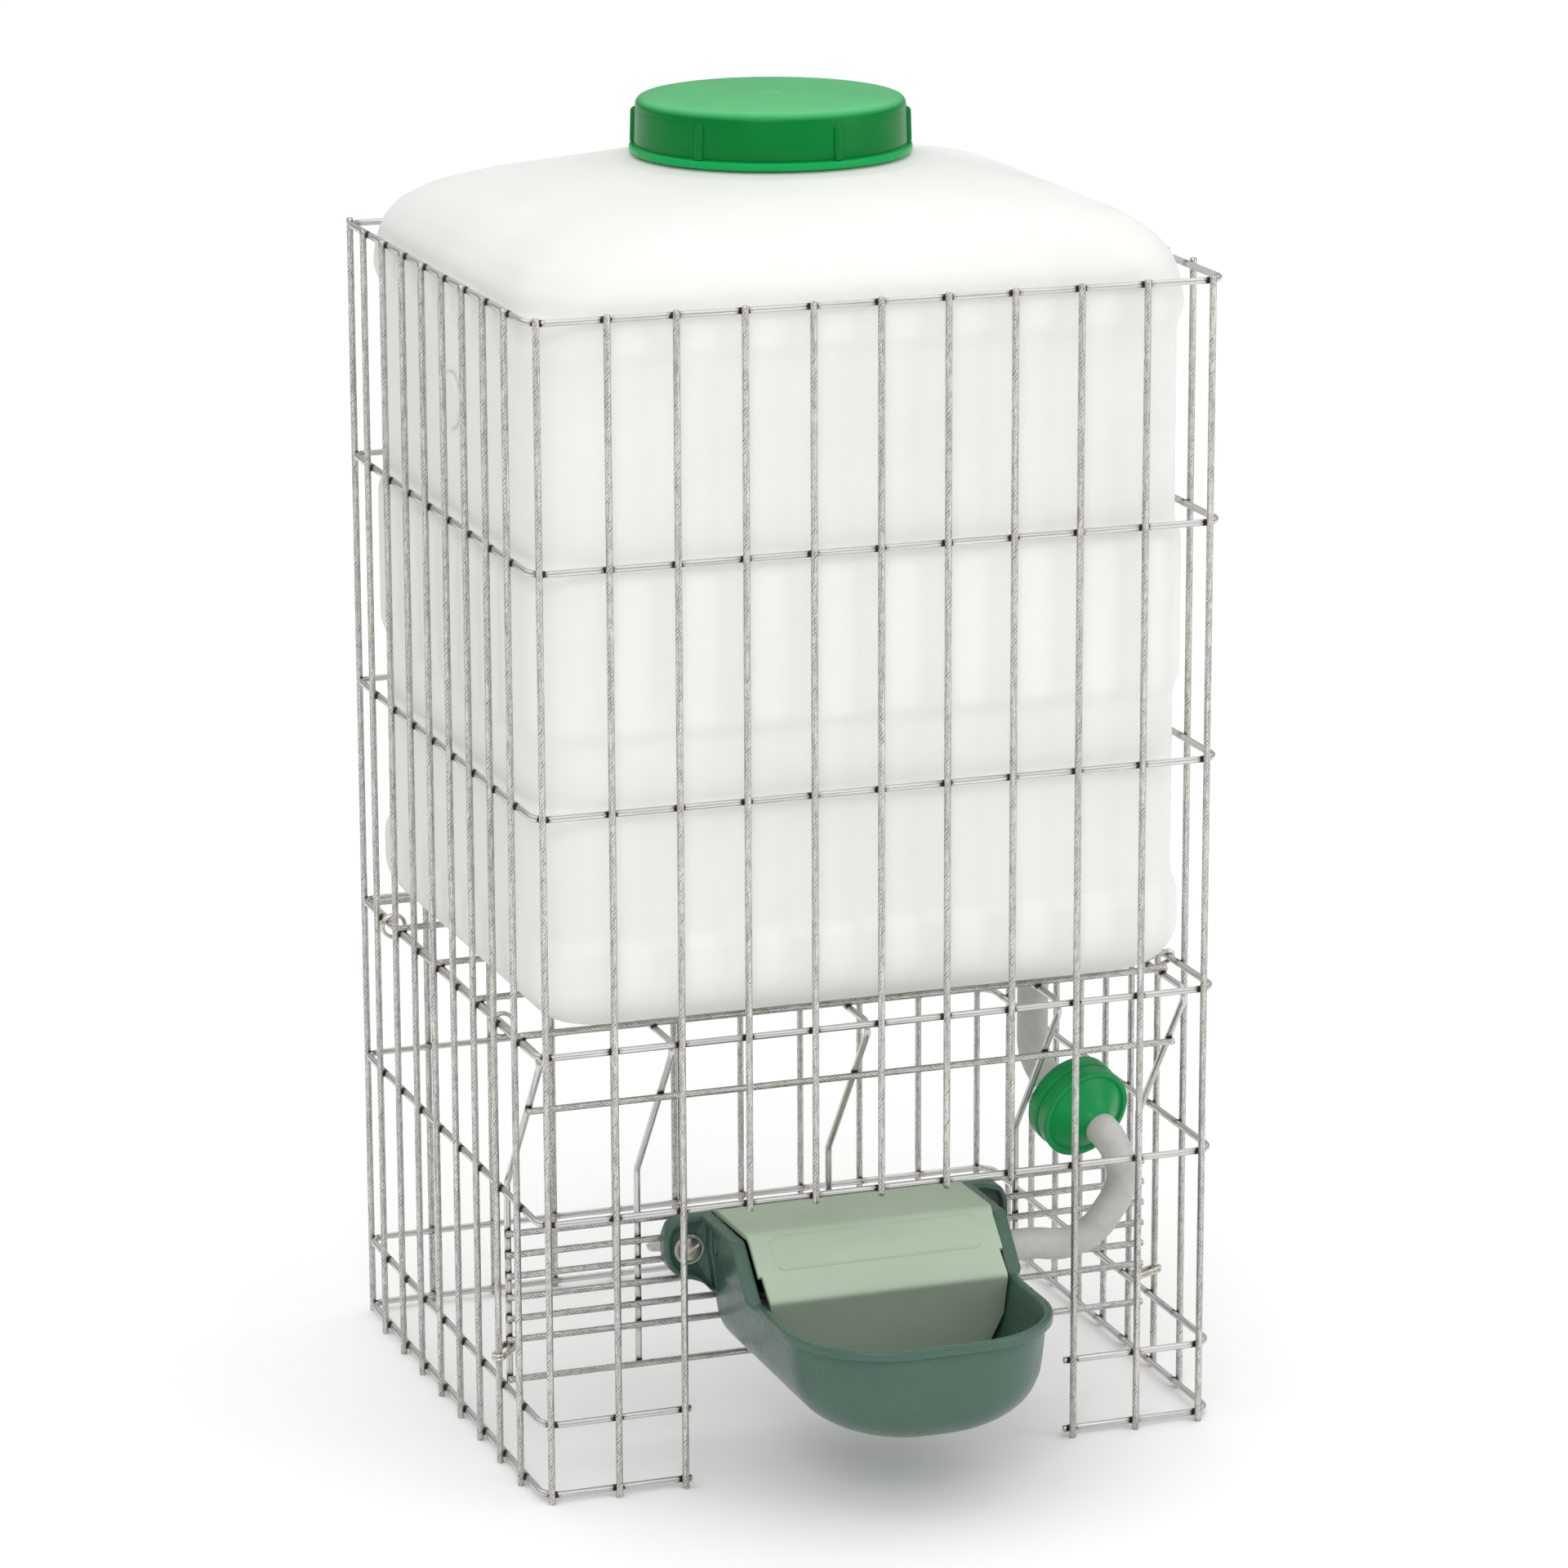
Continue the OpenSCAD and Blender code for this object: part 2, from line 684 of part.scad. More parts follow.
module cap() {
    ring = cap_edge - cap_foot;
    color("limegreen") home()
        translate([tank_x, 0, cap_foot]) {
            rotate_extrude()
                polygon([
                    [cap_bore, 0], [cap_flange_r - 0.6, 0], [cap_flange_r, 0.6],
                    [cap_flange_r, cap_flange_h], [cap_r + 0.5, cap_flange_h],
                    [cap_r - 0.3, ring - 3.4], [cap_r - 1, ring - 1.6], [cap_r - 3, ring],
                    [cap_r - 9, ring + 0.7], [28, ring + 1.5], [10, ring + 1.9], [0, ring + 1.9],
                    [0, ring - 1.1], [28, ring - 1.5], [cap_bore - 12, ring - 2],
                    [cap_bore - 8, cap_under - cap_foot], [cap_bore, cap_under - cap_foot]
                ]);
            translate([0, 0, ring + 1.7]) cylinder(r = 3.5, h = 0.6);
            for (i = [0 : cap_ribs - 1])
                rotate([0, 0, i * 360 / cap_ribs + rib_turn - 90])
                    translate([cap_r - 1.6, -2, cap_flange_h - eps])
                        cube([3.4, 4, ring - cap_flange_h - 4.9]);
        }
}

module cap_gasket() {
    color("black") home()
        translate([tank_x, 0, neck_top + 0.05])
            tube(cap_bore - 0.4, neck_bore + 0.5, 0, gasket_h);
}

module hose_upper() {
    color("darkgray") home()
        hose([hose_in, bend_point, filter_at - inlet * filter_dir], [hose_bend_r]);
}

module hose_lower() {
    color("darkgray") home() hose(hose_low, hose_low_r);
}

module filter_body() {
    b = filter_band;
    color("forestgreen") home() at_filter()
        rotate_extrude()
            polygon([
                [3, -inlet - 7.5], [spigot_r, -inlet - 7.5], [spigot_r, -inlet + 0.2],
                [6.5, -inlet + 0.2], [7.2, -inlet + 2], [filter_r - 2, -b], [filter_r, -b],
                [filter_r, -b / 2 - 0.1], [filter_r - 2.5, -b / 2 - 0.1], [filter_r - 2.5, -b + 1.5],
                [5.5, -inlet + 4], [3, -inlet + 1]
            ]);
}

module filter_cover() {
    b = filter_band;
    color("forestgreen") home() at_filter()
        rotate_extrude()
            polygon([
                [filter_r - 2.5, -b / 2 + 0.1], [filter_r, -b / 2 + 0.1], [filter_r, 0],
                [filter_r - 2, 0], [7.2, filter_cone - 2], [6.5, filter_cone - 0.2],
                [spigot_r, filter_cone - 0.2], [spigot_r, filter_cone + 2.6],
                [spigot_r - 0.9, filter_cone + 6], [3, filter_cone + 6],
                [3, filter_cone - 1], [5.5, filter_cone - 4], [filter_r - 2.5, -1.5]
            ]);
}

module filter_screen() {
    color("lightgray") home() at_filter()
        translate([0, 0, -filter_band / 2 - 0.6])
            cylinder(r = filter_r - 4.3, h = 1.2);
}

module filter_seal() {
    color("black") home() at_filter()
        tube(filter_r - 2.6, filter_r - 4.2, -filter_band / 2 - 1.5, -filter_band / 2 + 1.5);
}

module bowl() {
    lip_out = bowl_half + 3.5;
    color("darkslategray") home() at_bowl() difference() {
        union() {
            difference() {
                loft(concat(
                    [for (r = bowl_rows) bowl_ring(r, bowl_corner)],
                    [for (r = bowl_in_rows) bowl_ring(r, bowl_corner - bowl_wall)]
                ));
                // front of the cheeks down to the rim
                side_plate(-bowl_half - 20, bowl_half + 20)
                    polygon([
                        [-48, cheek_z + 20], [-48, cheek_z], [-64.9, rim_z + 3.5], [-69, rim_z],
                        [-bowl_reach - 20, rim_z], [-bowl_reach - 20, cheek_z + 20]
                    ]);
            }
            // lip along the top and the front edge of each cheek
            for (s = [-1, 1])
                side_plate(s > 0 ? bowl_half - 1 : -lip_out, s > 0 ? lip_out : -bowl_half + 1)
                    polygon([
                        [-2, cheek_z], [-48, cheek_z], [-64.9, rim_z + 3.5], [-67.5, rim_z + 0.5],
                        [-67.5, rim_z - 3], [-64.5, rim_z - 1.5], [-62, rim_z + 2.6],
                        [-46.8, cheek_z - 2.6], [-2, cheek_z - 2.6]
                    ]);
            // ears with a forward rim
            for (s = [-1, 1])
                translate([s * bolt_half, 0, bolt_z])
                    rotate([90, 0, 0]) {
                        cylinder(r = ear_r, h = 3);
                        difference() {
                            cylinder(r = ear_r, h = ear_depth);
                            translate([0, 0, -1]) cylinder(r = ear_r - 2.4, h = ear_depth + 2);
                            translate([s > 0 ? -40 : bolt_half - bowl_half - 1, -20, -1])
                                cube([41 - bolt_half + bowl_half, 40, ear_depth + 2]);
                        }
                    }
            // boss for the valve
            translate([boss_in, -valve_depth, valve_z])
                rotate([0, 90, 0])
                    cylinder(r = boss_r, h = boss_out - boss_in);
        }
        for (s = [-1, 1]) {
            translate([s * bolt_half, 1, bolt_z])
                rotate([90, 0, 0])
                    cylinder(r = bolt_d / 2 + 0.2, h = 20);
            translate([s > 0 ? bowl_half - 8 : -bowl_half - 6, -13, bolt_z - 2])
                cube([14, 4, 8]);
        }
        translate([boss_in - 1, -valve_depth, valve_z])
            rotate([0, 90, 0])
                cylinder(r = stem_r + 0.15, h = boss_out - boss_in + 2);
    }
}

module bowl_cover() {
    w = cover_wall;
    plate_l = 13;
    notch = 1.6;
    slope = atan2(15.3, 16);
    color("darkseagreen") home() at_bowl() {
        difference() {
            side_plate(-cover_half, cover_half)
                polygon([
                    [-4, cover_top - 0.7], [-47, cover_top], [-63, cover_top - 15.3],
                    [-71, cover_top - 21.6], [-71, rim_z - 0.2], [-71 + w, rim_z - 0.2],
                    [-71 + w, cover_top - 22.2], [-62, cover_top - 18], [-46, cover_top - w - 0.2],
                    [-4, cover_top - w - 0.7]
                ]);
            // the lower slope is narrower, to pass between the walls of the trough
            for (s = [-1, 1])
                translate([s > 0 ? cover_half - notch : -cover_half - eps, -72, rim_z - 5])
                    cube([notch + eps, 10.5, cover_top - rim_z + 10]);
        }
        // shield that hangs in the water
        translate([0, -71 + w, 0])
            rotate([90, 0, 0])
                linear_extrude(height = w)
                    polygon([
                        [-cover_half + notch + 0.2, rim_z + 0.2], [-bowl_half + 8, bowl_base + 31],
                        [-bowl_half + 16, bowl_base + 14], [bowl_half - 16, bowl_base + 14],
                        [bowl_half - 8, bowl_base + 31], [cover_half - notch - 0.2, rim_z + 0.2]
                    ]);
        // side skirts with clip tabs
        for (s = [-1, 1]) {
            translate([s > 0 ? cover_half - 2 : -cover_half, -13, bolt_z - 1])
                cube([2, 8.5, cover_top - 1.5 - bolt_z]);
            translate([s > 0 ? cover_half - 1 : -cover_half - 2.4, -12.6, bolt_z - 0.8])
                cube([3.4, 3.2, 5]);
        }
        // raised panel on the sloping face
        translate([0, -55, cover_top - 7.65])
            rotate([slope, 0, 0])
                translate([0, 0, -0.6])
                    linear_extrude(height = 1.3)
                        polygon(rrect(cover_half - 9, plate_l / 2, 4));
    }
}

module valve_body() {
    color("whitesmoke") home() difference() {
        union() {
            at_valve() {
                translate([0, 0, stem_end]) cylinder(r = stem_r, h = boss_out - stem_end + eps);
                translate([0, 0, boss_out + 0.1]) cylinder(r = 8, h = 2.4);
                translate([0, 0, boss_out]) cylinder(r = spigot_r, h = nipple_x - boss_out + 18);
            }
            // lugs that hold the pivot pin
            for (s = [-1, 1])
                translate([inner_x + pivot_x - 4, valve_y + (s > 0 ? 4.6 : -7.1), pivot_z - 4])
                    cube([stem_end - pivot_x + 6, 2.5, lever + 4]);
        }
        at_valve() {
            translate([0, 0, stem_end - 6]) cylinder(r = plunger_r + run, h = seat_x - stem_end + 6);
            translate([0, 0, seat_x - 1]) cylinder(r = 1.6, h = 80);
        }
        translate([inner_x + pivot_x, valve_y + 20, pivot_z])
            rotate([90, 0, 0])
                cylinder(r = pin_r + run, h = 40);
    }
}

module valve_nut() {
    color("whitesmoke") home() at_valve()
        translate([0, 0, boss_in - 5.1])
            difference() {
                cylinder(d = 19, h = 5, $fn = 6);
                translate([0, 0, -1]) cylinder(r = stem_r + 0.1, h = 7);
            }
}

module valve_plunger() {
    color("lightblue") home() at_valve() {
        translate([0, 0, plunger_tip]) cylinder(r = 1.2, h = 4);
        translate([0, 0, plunger_tip + 3]) cylinder(r = plunger_r, h = seal_end - 1.7 - plunger_tip - 3);
    }
}

module valve_seal() {
    color("black") home() at_valve()
        translate([0, 0, seal_end - 1.65]) cylinder(r = plunger_r - 0.2, h = 1.65);
}

module pivot_pin() {
    color("silver") home()
        translate([inner_x + pivot_x, valve_y + 7.6, pivot_z])
            rotate([90, 0, 0])
                cylinder(r = pin_r, h = 15.2);
}

module float_arm() {
    color("lightblue") home()
        translate([inner_x + pivot_x, valve_y, pivot_z]) {
            difference() {
                union() {
                    translate([0, 4.2, 0]) rotate([90, 0, 0]) cylinder(r = pin_r + 1.7, h = 8.4);
                    translate([-1.5, -2.5, 0]) cube([3.2, 5, lever + 2.2]);
                    translate([-28, -2.5, -1.5]) cube([28, 5, 3]);
                }
                translate([0, 10, 0]) rotate([90, 0, 0]) cylinder(r = pin_r + run, h = 20);
            }
            translate([-62, -34, -1.5]) cube([36, 36, 2]);
        }
}

module float_block() {
    color("khaki") home()
        translate([inner_x + pivot_x, valve_y, pivot_z])
            translate([-66, -37.5, -18])
                linear_extrude(height = 16.4)
                    translate([25, 18.5])
                        polygon(rrect(25, 18.5, 6));
}

module bolt(s) {
    at_bolt(s)
        difference() {
            union() {
                translate([0, 0, -17]) cylinder(d = bolt_d, h = 21 + washer_h);
                translate([0, 0, 3.2 + washer_h])
                    rotate_extrude()
                        polygon([[0, 0], [5.5, 0], [5.4, 1], [4.4, 2], [2.6, head_h - 0.2], [0, head_h]]);
            }
            rotate([0, 0, 35])
                translate([-8, -0.7, 3.2 + washer_h + head_h - 1.5])
                    cube([16, 1.4, 3]);
        }
}

module bolts() {
    color("silver") home() {
        bolt(-1);
        bolt(1);
    }
}

module washers_front() {
    color("silver") home()
        for (s = [-1, 1])
            at_bolt(s) tube(6.85, bolt_d / 2 + 0.2, 3.1, 3.1 + washer_h);
}

module washers_rear() {
    color("silver") home()
        for (s = [-1, 1])
            at_bolt(s) tube(9, bolt_d / 2 + 0.2, -wire_d - 1.7, -wire_d - 0.2);
}

module wing_nut(s) {
    base = -wire_d - 2;
    at_bolt(s)
        difference() {
            union() {
                translate([0, 0, base - 7])
                    cylinder(r1 = 4.6, r2 = 5.6, h = 7);
                rotate([90, 0, 20])
                    translate([0, 0, -1])
                        linear_extrude(height = 2)
                            polygon([
                                [-4, base - 1.5], [-9.5, base - 4], [-13, base - 9], [-13, base - 13],
                                [-10, base - 14.5], [-7.5, base - 12], [-4, base - 6.8],
                                [4, base - 6.8], [7.5, base - 12], [10, base - 14.5],
                                [13, base - 13], [13, base - 9], [9.5, base - 4], [4, base - 1.5]
                            ]);
            }
            translate([0, 0, base - 30]) cylinder(r = bolt_d / 2 + run, h = 40);
        }
}

module wing_nut_left() {
    color("silver") home() wing_nut(-1);
}

module wing_nut_right() {
    color("silver") home() wing_nut(1);
}

hoop_top();
hoop_upper();
hoop_middle();
hoop_shelf();
hoop_rail();
hoop_lower();
hoop_foot();
uprights_front();
uprights_left();
uprights_right();
uprights_rear();
panel_long_wires();
panel_shelf_wires();
panel_carrier_wires();
clip_rings();
tank_shell();
tank_outlet();
tank_outlet_seal();
tank_outlet_nut();
cap();
cap_gasket();
hose_upper();
filter_body();
filter_cover();
filter_screen();
filter_seal();
hose_lower();
bowl();
bowl_cover();
valve_body();
valve_nut();
valve_plunger();
valve_seal();
pivot_pin();
float_arm();
float_block();
bolts();
washers_front();
washers_rear();
wing_nut_left();
wing_nut_right();
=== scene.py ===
"""Looks of a poultry waterer fount: a white tank in a welded wire cage that feeds a float bowl.

Sizes inside the shape functions are millimetres measured from the middle of the cage; PieceSkin.build() turns
them into metres of the row frame.
"""
import math

import bmesh
import bpy
import numpy as np
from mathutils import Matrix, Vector


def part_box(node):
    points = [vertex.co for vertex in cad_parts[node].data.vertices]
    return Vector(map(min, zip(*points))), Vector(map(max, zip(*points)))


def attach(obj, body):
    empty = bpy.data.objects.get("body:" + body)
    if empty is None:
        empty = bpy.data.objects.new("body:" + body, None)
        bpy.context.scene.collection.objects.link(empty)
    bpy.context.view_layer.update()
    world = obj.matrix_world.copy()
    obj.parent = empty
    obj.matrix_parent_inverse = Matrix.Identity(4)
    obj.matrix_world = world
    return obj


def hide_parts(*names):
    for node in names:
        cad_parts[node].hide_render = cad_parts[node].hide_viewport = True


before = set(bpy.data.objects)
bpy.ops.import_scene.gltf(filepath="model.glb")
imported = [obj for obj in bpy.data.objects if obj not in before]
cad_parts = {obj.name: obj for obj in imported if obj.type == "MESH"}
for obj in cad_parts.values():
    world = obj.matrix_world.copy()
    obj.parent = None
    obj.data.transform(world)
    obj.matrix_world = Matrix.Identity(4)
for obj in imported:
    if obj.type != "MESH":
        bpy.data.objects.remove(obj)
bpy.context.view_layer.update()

bl_info = {
    "name": "Poultry waterer fount",
    "version": (1, 0, 0),
    "blender": (4, 5, 0),
    "location": "3D View > Sidebar > Fount",
    "description": "Builds the looks of a cage-mounted poultry waterer around its CAD frame",
    "category": "Object",
}

MM = 0.001
X_AXIS, Y_AXIS, Z_AXIS = np.eye(3)
MERGE = 2e-6  # metres; points of a mesh that are closer become one
HOME_Y = 42.5  # the middle of the cage lies this far behind the origin
INNER_X = -2.0  # sideways shift of everything that hangs in the cage
HOOPS = ("hoop_top", "hoop_upper", "hoop_middle", "hoop_shelf", "hoop_rail", "hoop_lower", "hoop_foot")
OPEN_HOOPS = ("hoop_lower", "hoop_foot")
BAY = (-88.4, 84.6)  # front ends of the two open hoops
SEAM = (-2.6, -2.1)  # the two ends of a hoop at the rear
PITCH = 30.0  # between the uprights of a face
FRONT_COUNT, SIDE_COUNT, REAR_COUNT = 11, 8, 6  # uprights of the front, of a side and of half the rear
FRONT_FIRST, LEFT_FIRST, RIGHT_FIRST = -151.9, 100.8, -93.8  # place of a face's first upright along it
REAR_FIRST = (149.3, -154.0)  # the same for the two halves of the rear
OVER_BOWL, RAIL_TIP = slice(3, 8), 122.4  # the front uprights that stop at the rail, and their lower end
WIRE_STEP, WIRE_SIDES, WIRE_SHARP = 2.0, 12, 55.0  # spacing of a wire's rings, its sides, its sharp edges in degrees
BRIGHT_ROUGH, DULL_ROUGH = 0.25, 0.38  # roughness of drawn and of rolled wire
ROD_END = 0.84  # radius of a rod's end disc over the rod's own
WELD_FAR = 30.0  # weld distances are stored up to this far
BEAD_GAP = 0.8  # weld distance of the beads, which are burnt all over
BEAD_SPANS = ((0.85, 1.25), (0.8, 1.15), (0.42, 0.55))  # width, height and thickness of a bead over its size
SAME = 0.01  # millimetres; places that are closer count as one


def node_middle(node):
    """Middle of a CAD node's box, in millimetres from the middle of the cage."""
    low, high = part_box(node)
    middle = np.array((low + high) / 2) / MM
    return middle - HOME_Y * Y_AXIS


def length(name, description, default):
    """A length, in metres, that a user may change."""
    return bpy.props.FloatProperty(name=name, description=description, default=default, subtype="DISTANCE",
                                   unit="LENGTH", precision=4)


def colour(name, description, default):
    """A linear colour that a user may change."""
    return bpy.props.FloatVectorProperty(name=name, description=description, default=default, subtype="COLOR",
                                         size=3, min=0.0, max=1.0)


class CageSizes(bpy.types.PropertyGroup):
    """Sizes of the welded wire cage and of the panel that hangs in it."""

    wire: length("Wire", "Diameter of the cage and panel wires", 0.003)
    width: length("Width", "Distance between the side wires of a hoop", 0.3094)
    depth: length("Depth", "Distance between the front and rear wires of a hoop", 0.2692)
    corner: length("Corner", "Axis radius of the hoop corners", 0.0085)
    bite: length("Weld bite", "Depth by which two welded wires sink into each other", 0.0002)
    upright_top: length("Upright top", "Height of the upper tips of the uprights", 0.5146)
    clip_wire: length("Clip wire", "Diameter of the wire of the clip rings", 0.0018)
    bead: length("Weld bead", "Half width of the metal squeezed out at a weld", 0.0015)


class TankSizes(bpy.types.PropertyGroup):
    """Sizes of the tank and its cap."""

    half_width: length("Half width", "Half width over the belts", 0.150)
    half_depth: length("Half depth", "Half depth over the belts", 0.1303)
    bottom: length("Bottom", "Height of the tank's foot over the floor", 0.2002)
    height: length("Height", "Height from the foot to the collar", 0.3536)
    wall: length("Wall", "Wall thickness", 0.003)
    edge: length("Edge radius", "Radius of the upright edges", 0.030)
    recess: length("Recess", "Depth of the fields between the belts", 0.003)
    neck: length("Neck radius", "Outer radius of the neck", 0.053)
    cap_foot: length("Cap foot", "Height of the lower edge of the cap", 0.5563)
    rib_height: length("Rib height", "How far a grip rib stands out of the cap", 0.0018)


class WaterSizes(bpy.types.PropertyGroup):
    """Sizes of the hoses, the filter and the bowl."""

    hose: length("Hose", "Outer diameter of the hoses", 0.014)
    hose_bore: length("Hose bore", "Bore of the hoses", 0.010)
    filter_radius: length("Filter radius", "Outer radius of the filter", 0.0215)
    bowl_half: length("Bowl half width", "Half width of the bowl at its rim", 0.060)
    bowl_reach: length("Bowl reach", "Reach of the bowl in front of its back", 0.149)
    bowl_rim: length("Bowl rim", "Height of the rim over the floor", 0.082)
    bowl_cheek: length("Bowl cheek", "Height of the cheeks over the floor", 0.104)
    cover_wall: length("Cover wall", "Wall thickness of the cover", 0.0025)


class FinishColours(bpy.types.PropertyGroup):
    """Colours of the finishes."""

    tank: colour("Tank", "Translucent white tank plastic", (0.87, 0.87, 0.82))
    cap: colour("Cap", "Bright green cap plastic", (0.0, 0.172, 0.03))
    strainer: colour("Filter", "Green filter plastic", (0.006, 0.275, 0.072))
    bowl: colour("Bowl", "Grey-green bowl plastic", (0.055, 0.116, 0.084))
    cover: colour("Cover", "Sage cover plastic", (0.405, 0.505, 0.385))
    hose: colour("Hose", "Grey hose rubber", (0.52, 0.515, 0.49))
    hoop: colour("Hoop wire", "Bright drawn wire", (0.66, 0.655, 0.64))
    upright: colour("Upright wire", "Dull rolled wire", (0.76, 0.745, 0.71))
    burn: colour("Weld burn", "Scale beside a weld", (0.045, 0.035, 0.028))
    floor: colour("Floor", "Pale studio floor", (0.96, 0.96, 0.96))


# ---------------------------------------------------------------- shapes


def unit(vectors):
    """Each vector over its own length."""
    return vectors / np.linalg.norm(vectors, axis=-1, keepdims=True)


def ease(low, high, values):
    """Smooth step: 0 below low, 1 above high, 3t^2 - 2t^3 between."""
    t = np.clip((values - low) / (high - low), 0.0, 1.0)
    return t * t * (3.0 - 2.0 * t)


def straight(start, end, step):
    """Even points from start to end, both included, no further apart than step."""
    count = max(2, int(np.linalg.norm(end - start) / step) + 2)
    return start + np.linspace(0.0, 1.0, count)[:, None] * (end - start)


def run_length(path):
    """Way along a path from its start to each of its points: the running sum of the distances."""
    return np.r_[0.0, np.cumsum(np.linalg.norm(np.diff(path, axis=0), axis=1))]


def distinct(path, least):
    """A path without the points that lie no further than least from the one before."""
    return path[np.r_[True, np.linalg.norm(np.diff(path, axis=0), axis=1) > least]]


def bent_path(corners, radii, step):
    """Line through corners whose inner corners are arcs: centre + r (cos t u + sin t s), with u from the arc's centre
    to its start and s along the run before it."""
    corners = np.asarray(corners, float)
    legs = unit(np.diff(corners, axis=0))
    runs, start = [], corners[0]
    for i, radius in enumerate(radii):
        before, after = legs[i], legs[i + 1]
        turn = math.acos(float(np.clip(before @ after, -1.0, 1.0)))
        cut = radius * math.tan(turn / 2)
        arc_start = corners[i + 1] - cut * before
        centre = corners[i + 1] + unit(after - before) * radius / math.cos(turn / 2)
        t = np.linspace(0.0, turn, max(4, int(radius * turn / step) + 3))[:, None]
        arc = np.cos(t) * unit(arc_start - centre) + np.sin(t) * before
        runs += [straight(start, arc_start, step), centre + radius * arc]
        start = corners[i + 1] + cut * after
    runs.append(straight(start, corners[-1], step))
    return distinct(np.concatenate(runs), 1e-6)


def rings_along(path, radius, sides, across):
    """A circle carried along a path: path + radius (cos a N + sin a B), where N is square to the path and to the
    direction across, and B is square to both."""
    tangent = unit(np.gradient(path, axis=0))
    normal = unit(np.cross(tangent, across))
    binormal = np.cross(tangent, normal)
    turn = np.linspace(0.0, 2 * np.pi, sides + 1)[:, None]
    radius = np.broadcast_to(radius, len(path))[:, None, None]
    return path[:, None] + radius * (np.cos(turn) * normal[:, None] + np.sin(turn) * binormal[:, None])


def rod(path, radius, sides, across, chamfer=0.25):
    """Solid rod along a path: its rings, a small chamfer and a closed disc at each end."""
    ends = path[[0, -1]]
    run = path.copy()
    run[0] += chamfer * unit(path[1] - path[0])
    run[-1] += chamfer * unit(path[-2] - path[-1])
    body = rings_along(run, radius, sides, across)
    first = ends[0] + (body[0] - run[0]) * ROD_END
    last = ends[1] + (body[-1] - run[-1]) * ROD_END
    tip = np.broadcast_to(ends[:, None], (2, sides + 1, 3))
    return np.concatenate([tip[:1], first[None], body, last[None], tip[1:]])


def turned(profile, sides, origin=(0.0, 0.0, 0.0), axis=Z_AXIS, across=X_AXIS):
    """Surface of revolution: origin + h axis + r (cos a U + sin a V) over the profile's (r, h) rows and the angle a."""
    axis = unit(np.asarray(axis, float))
    side = unit(np.cross(axis, np.asarray(across, float)))
    other = np.cross(axis, side)
    profile = np.asarray(profile, float)
    turn = np.linspace(0.0, 2 * np.pi, sides + 1)[:, None]
    circle = np.cos(turn) * side + np.sin(turn) * other
    return np.asarray(origin, float) + profile[:, None, 1:] * axis + profile[:, None, :1] * circle


def soften(rows, step, spread):
    """Rows resampled evenly along the line of their first two columns and blurred by a Gaussian, ends kept."""
    rows = np.asarray(rows, float)
    along = run_length(rows[:, :2])
    places = np.linspace(0.0, along[-1], int(along[-1] / step) + 2)
    fine = np.stack([np.interp(places, along, column) for column in rows.T], 1)
    reach = int(3 * spread / step) + 1
    weight = np.exp(-0.5 * (np.arange(-reach, reach + 1) * step / spread) ** 2)
    weight /= weight.sum()
    padded = np.concatenate([2 * fine[0] - fine[reach:0:-1], fine, 2 * fine[-1] - fine[-2:-reach - 2:-1]])
    return np.stack([np.convolve(column, weight, "valid") for column in padded.T], 1)


def corner_rings(centres, radii, per_arc, shares):
    """Closed outlines, one a row, of four quarter arcs about their centres, joined by straight runs that are divided
    at the given shares."""
    quarter = np.linspace(0.0, np.pi / 2, per_arc)[None, :] + np.pi / 2 * np.arange(4)[:, None]
    circle = np.stack([np.cos(quarter), np.sin(quarter)], -1)
    arcs = centres[:, :, None] + radii[:, :, None, None] * circle[None]
    following = np.roll(arcs[:, :, 0], -1, axis=1)
    parts = []
    for k in range(4):
        share = np.asarray(shares[k], float)[None, :, None]
        parts += [arcs[:, k], arcs[:, k, -1:] * (1 - share) + following[:, k, None] * share]
    ring = np.concatenate(parts, 1)
    return np.concatenate([ring, ring[:, :1]], 1)


def oblong_rings(half_x, half_y, radius, per_arc, shares):
    """Rounded rectangles: arc centres at (+-(half_x - r), +-(half_y - r))."""
    signs = np.array([(1, 1), (-1, 1), (-1, -1), (1, -1)])
    centres = np.stack([half_x - radius, half_y - radius], -1)[:, None] * signs
    return corner_rings(centres, np.repeat(radius[:, None], 4, 1), per_arc, shares)


def trough_rings(half, front, back, radius, corner, per_arc, shares):
    """D-shaped outlines: small corners at the back, large arcs at the front, y running forwards as minus."""
    centres = np.stack([
        np.stack([half - corner, -back - corner], -1), np.stack([corner - half, -back - corner], -1),
        np.stack([radius - half, radius - front], -1), np.stack([half - radius, radius - front], -1)], 1)
    radii = np.stack([np.full_like(half, corner), np.full_like(half, corner), radius, radius], 1)
    return corner_rings(centres, radii, per_arc, shares)


def block(low, high, edge):
    """Box with rounded edges: rounded rectangles that grow out of the bottom and shrink into the top by 1 - cos."""
    low, high = np.asarray(low, float), np.asarray(high, float)
    half, middle = (high - low) / 2, (high + low) / 2
    bend = np.linspace(0.0, np.pi / 2, 4)
    inset = edge * np.r_[1 - np.sin(bend), 1 - np.sin(bend[::-1])]
    height = np.r_[low[2] + edge * (1 - np.cos(bend)), high[2] - edge * (1 - np.cos(bend[::-1]))]
    ring = oblong_rings(half[0] - inset, half[1] - inset, edge * 1.2 - inset * 0.6, 4, [[0.5]] * 4)
    grid = np.concatenate([ring + middle[:2], np.broadcast_to(height[:, None, None], (*ring.shape[:2], 1))], 2)
    poles = np.array([[*middle[:2], low[2]], [*middle[:2], high[2]]])
    poles = np.broadcast_to(poles[:, None], (2, grid.shape[1], 3))
    return np.concatenate([poles[:1], grid, poles[1:]])


